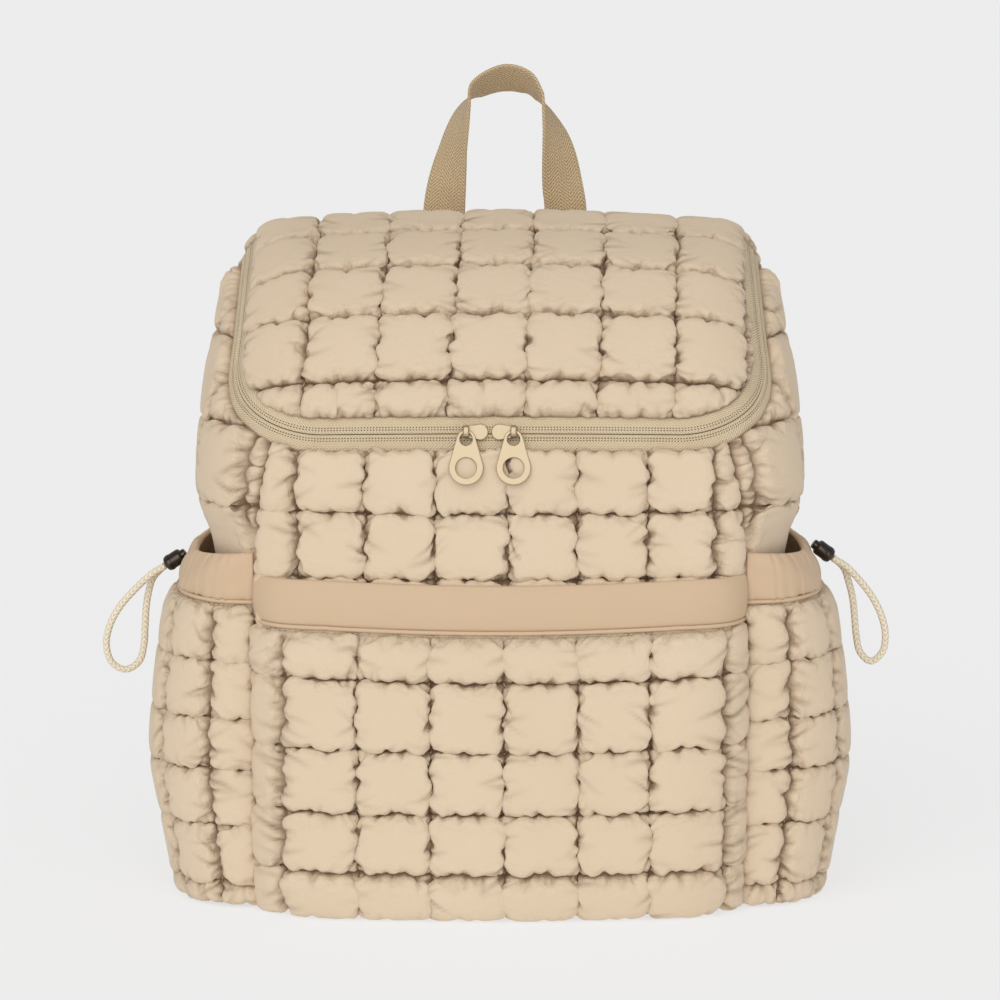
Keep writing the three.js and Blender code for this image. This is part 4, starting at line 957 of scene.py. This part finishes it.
quiltPanel("lidPanel", "lid", [-146.5, -105.5, -64.5, -23.5, 17.5, 58.5, 99.5, 140.5, 160],
           [lidLow, lidLow + 22, lidLow + 62, lidLow + 99, lidLow + 138, lidHigh + 10], lidSkin,
           outline=lidEdge)

frontEdge = zipLine(zipper["slit"] / 2 + zipper["tape"] - zipper["under"])
edgeAlong = float(frontEdge[:, 1].min())
panelFoot = 150      # front and side panels reach down to this height behind the pockets


# The seam between front and side from the panels' foot up to the zip, with the tape's edge that it meets
def seamSide(inset):
    along = np.linspace(float(alongAt(panelFoot)), float(zipAlong) + 34, 40)
    across = frontSeam(np.interp(along, profile["along"], profile["z"]), body["height"]) - inset
    edge = frontEdge[len(frontEdge) // 2:]
    under = along < np.interp(across, edge[:-1, 0], edge[:-1, 1])
    return np.stack([across, along], axis=-1)[under], edge


# Front panel between its two seams and under the zip
def frontOutline():
    right, _ = seamSide(-0.4)
    under = frontEdge[np.abs(frontEdge[:, 0]) < right[-1, 0] - 0.5]
    return np.vstack([right, under[::-1], (right * [-1, 1])[::-1]])


# The pulls hang over the middle of the panel, where it stands less high
def frontCap(across, along):
    near = np.exp(-(across + 5.6) ** 2 / 1100) * np.clip((along - edgeAlong + 52) / 20, 0, 1)
    return 7.6 - 2.6 * near


def frontSkin(across, along):
    return bodySkin(across, along - 2.5 * np.cos(np.clip(across / 160, -1, 1) * math.pi / 2)
                    * np.clip((edgeAlong - 8 - along) / 30, 0, 1))


quiltPanel("frontPanel", "front_panel", [-150, -112.4, -74.7, -36, 4.4, 42.6, 81.9, 119, 150],
           [float(alongAt(panelFoot)), pocketHigh, edgeAlong - 34, edgeAlong + 7.5, edgeAlong + 40],
           frontSkin, outline=frontOutline(), cap=frontCap)


# Visible outline of the right side in its side view
def sideOutline():
    front, edge = seamSide(0.4)
    upper = edge[edge[:, 0] > front[-1, 0] + 0.5]
    dense = []
    for a, b in zip(upper, upper[1:]):
        steps = max(1, int(np.hypot(*(b - a)) / 3))
        dense += [a + (b - a) * share / steps for share in range(steps)]
    back = np.linspace(topAlong, float(alongAt(panelFoot, True)), 40)
    back = np.stack([np.full(40, body["backSeam"] - 0.4), back], axis=-1)
    return bodySkin(*np.vstack([front, dense, back]).T)[:, 1:]


# Flat where the side pocket covers it
def sideCap(y, z):
    return 2.5 + 5.1 * np.clip((z - 214) / 16, 0, 1)


for side in ("Left", "Right"):
    quiltPanel("sidePanel" + side, "side_panel_" + side.lower(), [-84, -61.6, -21.6, 18.4, 58.4, 84],
               [panelFoot, 189, 232.7, 276.5, 320.3, 364.1, 392], sideSkin, outline=sideOutline(),
               cap=sideCap, mirror=side == "Left")

sideTop = sidePocketSizes["top"] - sidePocketSizes["band"]


def sideLift(around, z):
    return np.full(np.shape(around), float(sidePocketSizes["wall"]))


for side in ("Left", "Right"):
    quiltPanel("sidePocket" + side, "side_pocket_" + side.lower(),
               [0, 27, 62, 97, 132, 167, planLength - 0.1],
               [2, 16, 50, 81.5, 111, 144, sideTop - strip["height"], sideTop + strip["tuckedIn"]],
               pocketSkin, lift=sideLift, cap=belowBand(sideTop - 3), mirror=side == "Left")


# The back is padded less and channelled upright
def backCap(across, along):
    return np.full(len(across), 3.6)


quiltPanel("backPad", "back_panel", [-137.75, -92, -46, 0, 46, 92, 137.75],
           [topAlong + 0.5, topAlong + 32, float(alongAt(6.5, True))], bodySkin, cap=backCap,
           spacing=3.4, pressure=4, shrink=-0.12, finish="smooth_nylon")
print("cloth laid out,", sum(len(cloth["flat"]) for cloth in waiting), "vertices")
puffPanels()
for cloth in waiting:
    seamStitches(cloth)
    finishPanel(cloth, smoothCloth if cloth["finish"] == "smooth_nylon" else quiltCloth)
print("quilting puffed")


# Lining: the backing cloth under the quilting, which closes every seam from inside
lining = {"inset": 4.4, "columns": 61, "rows": 90, "grid": 5, "middle": np.array([0, 0, 190])}


def makeLining():
    count, size, step = lining["rows"], lining["columns"], lining["grid"]
    rings = []
    for along in np.linspace(alongAt(7), wholeAlong - 6, count):
        z, rounding = (float(np.interp(along, profile["along"], profile[name])) for name in ("z", "round"))
        u = np.linspace(-1, 1, size) * (float(halfWidth(z, body["height"])) + 0.1 * rounding)
        v = np.full(size, along)
        places, outward = bodySkin(u, v), skinNormals(bodySkin, u, v)
        outward = outward * np.sign((outward * (places - lining["middle"])).sum(axis=1))[:, None]
        rings.append(places - outward * lining["inset"])
    rings = np.array(rings)
    faces, corners = [], []
    for row in range(count - 1):
        for spot in range(size - 1):
            ring = ((row, spot), (row, spot + 1), (row + 1, spot + 1), (row + 1, spot))
            faces.append(tuple(up * size + over for up, over in ring))
            corners += [(up * step, over * step) for up, over in ring]
    right = tuple(row * size + size - 1 for row in range(count))
    left = tuple(row * size for row in range(count))[::-1]
    under = tuple(range(size))[::-1] + tuple(range((count - 1) * size, count * size))[::-1]
    faces += [right, left, under]
    corners += [(0, 0)] * (2 * count + 2 * size)
    addPiece("lining", rings.reshape(-1, 3), faces, corners, smoothCloth)


makeLining()


# Pocket bands: a folded strip of smooth nylon, its upper edge a soft roll
band = {"roll": 1.6, "wall": 2.8, "inner": 2, "above": 0.3}


def bandRings(stations, section, skin, lift):
    rings = []
    for place in stations:
        height, off = section(place)
        u = np.full(len(height), place)
        rings.append(skin(u, height) + skinNormals(skin, u, height) * (lift(u, height) + off)[:, None])
    return np.array(rings)


def foldedSection(low, high, puff):
    roll, wall = band["roll"], band["wall"]
    up = np.linspace(0, 1, 14)
    front = low + (high - low - roll) * up
    swell = 0.5 + puff * np.sin(np.clip(up, 0, 1) * math.pi) ** 0.45
    turn = np.linspace(0, math.pi, 8)[1:-1]
    top = high - roll + roll * np.sin(turn)
    over = -wall / 2 + (wall / 2 + 0.5) * np.cos(turn)
    back = np.linspace(high - roll, low + band["inner"], 6)
    return np.concatenate([front, top, back]), np.concatenate([swell, over, np.full(6, -wall)])


def frontBandSection(across):
    ripple = 0.35 * math.sin(across / 9.0) * math.sin(across / 23.0 + 1)
    drop = pocketHang * math.cos(min(abs(across) / pocketEdge, 1) * math.pi / 2)
    height, off = foldedSection(bandLow + band["above"], pocketHigh, 2.1)
    return height - drop * (height < bandLow), off + ripple * (off > 0.6)


rings = bandRings(np.linspace(-pocketEdge, pocketEdge, 130), frontBandSection, hangingSkin, pocketLift)
piece = loftPiece("frontPocketBand", rings, smoothCloth, ["front_pocket_band"])

gathers = draw.uniform(-1, 1, 64)


# Small upright folds that the cord draws in the casing, deeper at both its edges
def gather(around, z, low, high):
    fold = math.sin(around * 2 * math.pi / 13 + 3 * float(np.interp(around / 6 % 64, range(64), gathers)))
    share = (z - low) / (high - low)
    return fold * (0.2 + 0.5 * np.abs(2 * share - 1) ** 2) + 0.5 * np.sin(7 * share + around / 9)


def sideBandSection(around):
    low, high = sideTop + band["above"], sidePocketSizes["top"]
    height, off = foldedSection(low, high, 1.6)
    sag = 6 * math.sin(min(around / planLength, 1) ** 0.8 * math.pi) ** 2
    seamEase = min(1, around / 8, (planLength - around) / 8)
    gathered = off + gather(around, height, low, high) * (off > -0.5) * seamEase
    return height - sag * np.clip((height - low) / (high - low), 0, 1), gathered


def flip(points, side):
    return points * [-1, 1, 1] if side == "Left" else points


for side in ("Left", "Right"):
    rings = bandRings(np.linspace(0, planLength, 150), sideBandSection, pocketSkin, sideLift)
    piece = loftPiece("sidePocketBand" + side, flip(rings, side), smoothCloth,
                      ["side_pocket_band_" + side.lower()])


# Piping and topstitching under each band
piping = {"below": 0.4, "stitchBelow": 2.6, "width": 1.15, "height": 0.75}


def skinRun(skin, lift, stations, height, off):
    u, v = np.asarray(stations, float), np.full(len(stations), float(height))
    normals = skinNormals(skin, u, v)
    return skin(u, v) + normals * (lift(u, v) + off)[:, None], normals


def pipe(path, normals):
    tube = roundSection(1.0, 10) * [piping["width"], piping["height"]]
    return sweep(path, np.cross(unit(np.gradient(path, axis=0)), normals), tube)


frontRun = np.linspace(-pocketEdge, pocketEdge, 150)
path, normals = skinRun(hangingSkin, pocketLift, frontRun, bandLow - piping["below"], 0.9)
loftPiece("frontPiping", pipe(path, normals), smoothCloth)
path, normals = skinRun(hangingSkin, pocketLift, frontRun, bandLow - piping["stitchBelow"], 0.6)
topstitch("frontBandTopstitch", path, normals)
sideRun = np.linspace(0.5, planLength - 0.5, 140)
for side in ("Left", "Right"):
    path, normals = skinRun(pocketSkin, sideLift, sideRun, sideTop - piping["below"], 0.6)
    loftPiece("sidePiping" + side, flip(pipe(path, normals), side), smoothCloth)
    path, normals = skinRun(pocketSkin, sideLift, sideRun, sideTop - piping["stitchBelow"], 0.6)
    topstitch("sideBandTopstitch" + side, flip(path, side), flip(normals, side))
print("bands sewn")


# Zip: two tapes with rolled edges that meet at the slit, and the coil between them, coloured near black as
# painted shadow of the slit
def zipStations(outward, spacing=2.6):
    line = zipLine(outward)
    parts = np.maximum(1, np.ceil(np.hypot(*np.diff(zipLine(0), axis=0).T) / spacing)).astype(int)
    run = []
    for a, b, count in zip(line, line[1:], parts):
        run += [a + (b - a) * share / count for share in range(count)]
    return np.array([*run, line[-1]])


def zipRings(section):
    rings = []
    for outward, height in section:
        u, v = zipStations(outward).T
        rings.append(bodySkin(u, v) + skinNormals(bodySkin, u, v) * height)
    return np.stack(rings, axis=1)


# Sections in mm outward from the slit and off the body
tapeSection = np.array([[0.2, -0.6], [0.22, 0.3], [0.62, 0.8], [1.1, 1.1], [1.7, 1.05], [2.3, 0.72],
                        [3.2, 0.55], [4.6, 0.6], [6.4, 0.6], [8.2, 0.45], [9.4, -0.1], [10.6, -1.4],
                        [10.4, -2.0], [5.0, -1.2], [1.0, -1.2]])
coilSection = np.array([[-0.7, -0.5], [-0.3, -0.15], [0.3, -0.15], [0.7, -0.5], [0.5, -1.4], [-0.5, -1.4]])
for name, node, sign in (("zipTapeLid", "zip_tape_lid", -1), ("zipTapeBody", "zip_tape_body", 1)):
    rings = zipRings(tapeSection * [sign, 1])
    loftPiece(name, rings, tapeCloth, [node], around=[*tapeSection[:, 0], 0.2])
loftPiece("zipCoilSlitShade", zipRings(coilSection), coilSlitShadeCloth)
print("zip laid")


# Sliders with a crown at their outer ends, in which the pulls turn about the places given for each side
slide = {"length": 14, "width": 8.5, "plate": 2, "rounded": 0.6, "lift": 0.3, "meeting": -5.6, "space": 1.6,
         "inner": 1.9, "wall": 1.6, "crown": 3.4, "squareness": 0.6, "edge": 0.55,
         "Left": [-18.751, -78.36, 276.728], "Right": [7.508, -78.489, 276.761]}
pullSizes = {"length": 31, "ring": 9.6, "ringHole": 5.8, "top": 5.3, "topHole": 3.5, "thickness": 1.5,
             "tilt": 18, "edge": 0.4}


def arc(x, y, radius, start, end, count=28):
    angle = np.linspace(start, end, count)
    return np.stack([x + radius * np.cos(angle), y + radius * np.sin(angle)], axis=-1)


def makeSlider(side, sign):
    x = slide["meeting"] + sign * (slide["space"] + slide["length"]) / 2
    out = skinNormals(bodySkin, x, zipAlong)
    right = unit(np.array([1.0, 0, 0]) - out * out[0])
    up = np.cross(out, right)
    half, wide, edge = slide["length"] / 2, slide["width"] / 2, slide["edge"]
    middle = slide["lift"] + slide["plate"] + slide["inner"]
    place = np.array(slide[side]) - right * sign * (half - slide["crown"] / 2) - out * middle
    nose = arc(half - wide - 0.3, 0, wide + 0.3 - edge, -math.pi / 2, math.pi / 2, 18)
    outline = np.vstack([nose, [[edge - half, 0.62 * wide], [edge - half, -0.62 * wide]]])
    outline = outline if sign < 0 else (outline * [-1, 1])[::-1]
    thickness = slide["plate"] + slide["rounded"]
    plate = cutPlate("slider", [outline], thickness, edge)
    setInPlace(plate, place + out * (slide["lift"] + thickness / 2), right, up, out)
    angle = np.linspace(-0.35, math.pi + 0.35, 30)
    radius = slide["inner"] + slide["wall"] / 2
    level, rise = (np.sign(turn) * np.abs(turn) ** slide["squareness"] * radius
                   for turn in (np.cos(angle), np.sin(angle)))
    arch = (place + right * sign * (half - slide["crown"] / 2)
            + level[:, None] * up + (middle + rise)[:, None] * out)
    legs = np.array([arch[0] - out * 1.2, *arch, arch[-1] - out * 1.2])
    rings = sweep(legs, right, webSection(slide["crown"], slide["wall"]))
    crown = loftPiece("sliderCrown", rings, goldMetal)
    slider = joinPieces([plate, crown], "zipSlider" + side)
    finishHard(slider, goldMetal, ["zip_slider_" + side.lower()])


# A teardrop plate with a small hole for the crown and a large one in its ring
def makePull(side):
    sizes, edge = pullSizes, pullSizes["edge"]
    loop = -(sizes["top"] + sizes["topHole"]) / 2
    ring = sizes["top"] + loop - sizes["length"] + sizes["ring"]
    lean = math.asin((sizes["ring"] - sizes["top"]) / (loop - ring))
    outline = np.vstack([arc(0, loop, sizes["top"] - edge, lean, math.pi - lean),
                         arc(0, ring, sizes["ring"] - edge, math.pi - lean, 2 * math.pi + lean, 56)])
    holes = [arc(0, loop, sizes["topHole"] + edge, 0, 2 * math.pi, 41)[:-1],
             arc(0, ring, sizes["ringHole"] + edge, 0, 2 * math.pi, 57)[:-1]]
    tilt = math.radians(sizes["tilt"])
    plate = cutPlate("zipPull" + side, [outline, *holes], sizes["thickness"], edge)
    setInPlace(plate, slide[side], (1, 0, 0), (0, math.sin(tilt), math.cos(tilt)),
               (0, -math.cos(tilt), math.sin(tilt)))
    finishHard(plate, goldMetal, ["zip_pull_" + side.lower()], "pull_" + side.lower())


for side, sign in (("Left", -1), ("Right", 1)):
    makeSlider(side, sign)
    makePull(side)
print("sliders and pulls fitted")


# Grab handle: one length of webbing, flat where it is sewn down and on edge over its arch
handle = {"width": 25, "thickness": 2.4, "spread": 71.4, "shift": 2.9, "rise": 80, "seat": 40, "lean": 6,
          "rows": [[-0.5, -0.5, 0, 0], [-0.5, 0.05, 10, 0], [-0.43, 0.475, 47, 8], [-0.335, 0.775, 65, 22],
                   [-0.241, 0.909, 83, 34], [0, 1, 90, 40], [0.183, 0.962, 97, 38], [0.287, 0.862, 98, 32],
                   [0.38, 0.675, 119, 18], [0.436, 0.494, 138, 8], [0.478, 0.2, 165, 2], [0.5, 0.05, 172, 0],
                   [0.5, -0.5, 180, 0]]}     # side and rise shares, turn and tilt in degrees


def makeHandle():
    rows = np.array(handle["rows"], float)
    backFace = bodySkin(handle["spread"] / 2, alongAt(body["height"] - handle["seat"], True))[1] + 3
    points = np.stack([handle["shift"] + rows[:, 0] * handle["spread"],
                       backFace - 0.7 + handle["thickness"] / 2 + handle["lean"] * np.maximum(rows[:, 1], 0),
                       body["height"] + rows[:, 1] * handle["rise"]], axis=-1)
    steps = (len(rows) - 1) * 12
    path = smoothRun(points, steps)
    where = np.linspace(0, len(rows) - 1, steps + 1)
    turn, tilt = (np.radians(np.interp(where, range(len(rows)), rows[:, column])) for column in (2, 3))
    across = np.stack([np.cos(turn) * np.cos(tilt), -np.sin(turn) * np.cos(tilt), np.sin(tilt)], axis=-1)
    rings = sweep(path, across, webSection(handle["width"], handle["thickness"] - 0.3, 14))
    loftPiece("handle", rings, webCloth, ["handle"], along=runLength(path))


makeHandle()

# Shoulder straps, their webs and adjusters
strap = {"width": 62, "thickness": 11, "standOff": 24, "web": 25, "webThickness": 1.8, "stitchIn": 0.86,
         "rows": [[0.25, 0.862, 0], [0.3, 0.81, 0.14], [0.39, 0.71, 0.62],    # shares out, up, off the back
                  [0.48, 0.6, 1], [0.54, 0.47, 0.92], [0.57, 0.37, 0.5]],
         "widths": [[0, 0.72], [0.2, 0.92], [0.5, 1], [0.8, 0.88], [1, 0.5]]}
adjuster = {"length": 22, "bar": 3.6, "thickness": 4, "drop": 20, "edge": 0.8, "tail": [0.75, 1.2, 1.6, 2]}
lower = {"out": 0.72, "end": 0.05, "sewn": 0.1}
fitGap = 0.3
webOff = adjuster["thickness"] / 2 + fitGap + strap["webThickness"] / 2     # from adjuster's to web's middle


def backFaceAt(x, z):
    return float(bodySkin(x, alongAt(z, True))[1]) + 3


def strapPath():
    points = []
    for out, up, off in strap["rows"]:
        x, z = out * body["halfWidth"], up * body["height"]
        y = backFaceAt(x, z) + strap["thickness"] / 2 + fitGap + off * strap["standOff"]
        points.append([x, y, z])
    return smoothRun(points, 70)


def adjusterFrame():
    path = strapPath()
    up = unit(path[-2] - path[-1])
    wide = unit(np.array([1.0, 0, 0]) - up * up[0])
    face = -np.cross(wide, up)
    return path[-1] - up * adjuster["drop"], up, wide, face


def placeIn(along, off):
    middle, up, wide, face = adjusterFrame()
    return middle + up * along + face * off


# The web's way round the adjuster's upper or lower bar
def webTurn(sign):
    bar = adjuster["length"] / 2 - adjuster["bar"]
    return [placeIn(sign * (bar - webOff * math.cos(angle)), webOff * math.sin(angle))
            for angle in np.linspace(-math.pi / 2, math.pi / 2, 13)]


# Where the lower web lies on the back at a share of the body's height
def webSeat(up):
    x, z = lower["out"] * body["halfWidth"], up * body["height"]
    return [x, backFaceAt(x - strap["web"] / 2, z) + fitGap + strap["webThickness"] / 2, z]


def boxOutline(half, low, high, edge):
    low, high, half = low + edge, high - edge, half - edge
    return np.array([[-half, low], [half, low], [half, high], [-half, high]])


def makeStraps(side):
    sign = -1 if side == "Left" else 1
    node = side.lower()
    path = strapPath()
    share = np.linspace(0, 1, len(path))
    wide = np.interp(share, *smoothRun(strap["widths"], 60).T) * strap["width"] / 2
    over, under = roundSection(1, 40).T
    across = np.sign(over) * np.abs(over) ** 0.55
    thin = under * (1 - 0.62 * np.abs(across) ** 7) * strap["thickness"] / 2
    taper = np.minimum(1, 0.35 + 0.65 * np.sqrt(np.clip(np.minimum(share, 1 - share) / 0.05, 0, 1)))
    section = np.stack([across[None] * wide[:, None], thin[None] * taper[:, None]], axis=-1)
    rings = sweep(path, [1, 0, 0], section)
    pad = loftPiece("shoulderStrap" + side, flip(rings, side), smoothCloth,
                    ["shoulder_strap_" + node])
    middle, up, wideAxis, face = adjusterFrame()
    reach = adjuster["drop"] + 4 * strap["webThickness"]
    webRing = webSection(strap["web"], strap["webThickness"] - 0.1, 12, 4)
    stations = [placeIn(reach, -webOff), placeIn(reach * 0.7, -webOff), *webTurn(1),
                placeIn(reach * 0.7, webOff), placeIn(reach, webOff)]
    loftPiece("strapLoop" + side, flip(sweep(stations, wideAxis, webRing), side), webCloth)
    turn = webTurn(-1)
    run = smoothRun([webSeat(lower["end"]), webSeat(lower["sewn"]),
                     placeIn(-1.1 * adjuster["length"], -webOff), turn[0]], 45)
    tail = smoothRun([turn[-1], *[placeIn(-part * adjuster["length"], webOff + 1.6 * part)
                                  for part in adjuster["tail"]]], 20)
    stations = np.array([*run[:-1], *turn, *tail[1:]])
    loftPiece("lowerStrap" + side, flip(sweep(stations, wideAxis, webRing), side), webCloth,
              ["lower_strap_" + node])
    half, edge, bar = strap["web"] / 2 + adjuster["bar"] + fitGap, adjuster["edge"], adjuster["bar"]
    slot = adjuster["length"] / 2 - bar
    outlines = [boxOutline(half, -adjuster["length"] / 2, adjuster["length"] / 2, edge),
                boxOutline(half - bar, -slot, -bar / 2, 0.5 - edge),
                boxOutline(half - bar, bar / 2, slot, 0.5 - edge)]
    ladder = cutPlate("strapAdjuster" + side, outlines, adjuster["thickness"], edge)
    mirror = np.array([sign, 1, 1])
    setInPlace(ladder, middle * mirror, wideAxis * mirror * sign, up * mirror, -face * mirror)
    finishHard(ladder, buckle, ["strap_adjuster_" + node])
    normals = unit(np.cross([1.0, 0, 0], unit(np.gradient(path, axis=0))))[2:-2]
    normals = normals * np.sign(normals[:, 1:2])
    for name, way in (("In", -1), ("Out", 1)):
        line = path[2:-2] + normals * (strap["thickness"] / 2 * strap["stitchIn"])
        line[:, 0] += way * strap["stitchIn"] * wide[2:-2]
        topstitch("strapStitch" + side + name, flip(line, side), flip(normals, side))


for side in ("Left", "Right"):
    makeStraps(side)


# Base: a flat panel with a turned edge
baseRows = ((0.2, 5), (0.5, 2), (1.5, 0.6), (3, 0.1), (6, 1.5))      # height and inset


def makeBase():
    outline = []
    for along, sign in ((0.0, 1), (wholeAlong, -1)):
        z, rounding = (float(np.interp(along, profile["along"], profile[name])) for name in ("z", "round"))
        reach = float(halfWidth(z, body["height"])) - rounding + rounding * math.pi / 2
        share = np.linspace(-1, 1, 41) * sign
        outline.append(bodySkin(np.sign(share) * np.abs(share) ** 0.6 * reach, np.full(41, along))[:, :2])
    outline = np.vstack(outline)
    centre = outline.mean(axis=0)
    rings = []
    for z, inset in baseRows:
        drawn = outline - unit(outline - centre) * inset
        rings.append(np.column_stack([drawn, np.full(len(drawn), z)]))
    loftPiece("basePanel", rings, smoothCloth, ["base_panel"])


makeBase()
print("straps and base made")


# Studio: a pale floor that runs out of sight, lit partly from within so that its shade stays soft
studio = {"floor": 160, "glow": 0.67, "sky": 0.42,
          "suns": (("key", (58, -24, 0), 1.5, 70), ("fill", (60, 45, 0), 0.3, 90))}  # turn, energy, spread


def makeStudio():
    bpy.ops.mesh.primitive_plane_add(size=studio["floor"], location=(0, 0, 0))
    floor = bpy.context.object
    floor.name = "floor"
    paper, _ = newMaterial("paperFloor", Base_Color=srgb("#8a8a8a"), Roughness=1.0, Specular_IOR_Level=0.0,
                           Emission_Color=srgb("#ffffff"), Emission_Strength=studio["glow"])
    floor.data.materials.append(paper)
    world = bpy.data.worlds.new("studio")
    world.use_nodes = True
    bpy.context.scene.world = world
    sky = world.node_tree.nodes["Background"]
    sky.inputs["Color"].default_value = (1, 1, 1, 1)
    sky.inputs["Strength"].default_value = studio["sky"]
    for name, turn, energy, spread in studio["suns"]:
        light = addObject(name, bpy.data.lights.new(name, "SUN"))
        light.rotation_euler = [math.radians(angle) for angle in turn]
        light.data.energy = energy
        light.data.angle = math.radians(spread)


makeStudio()
bpy.context.scene.view_settings.view_transform = "Standard"
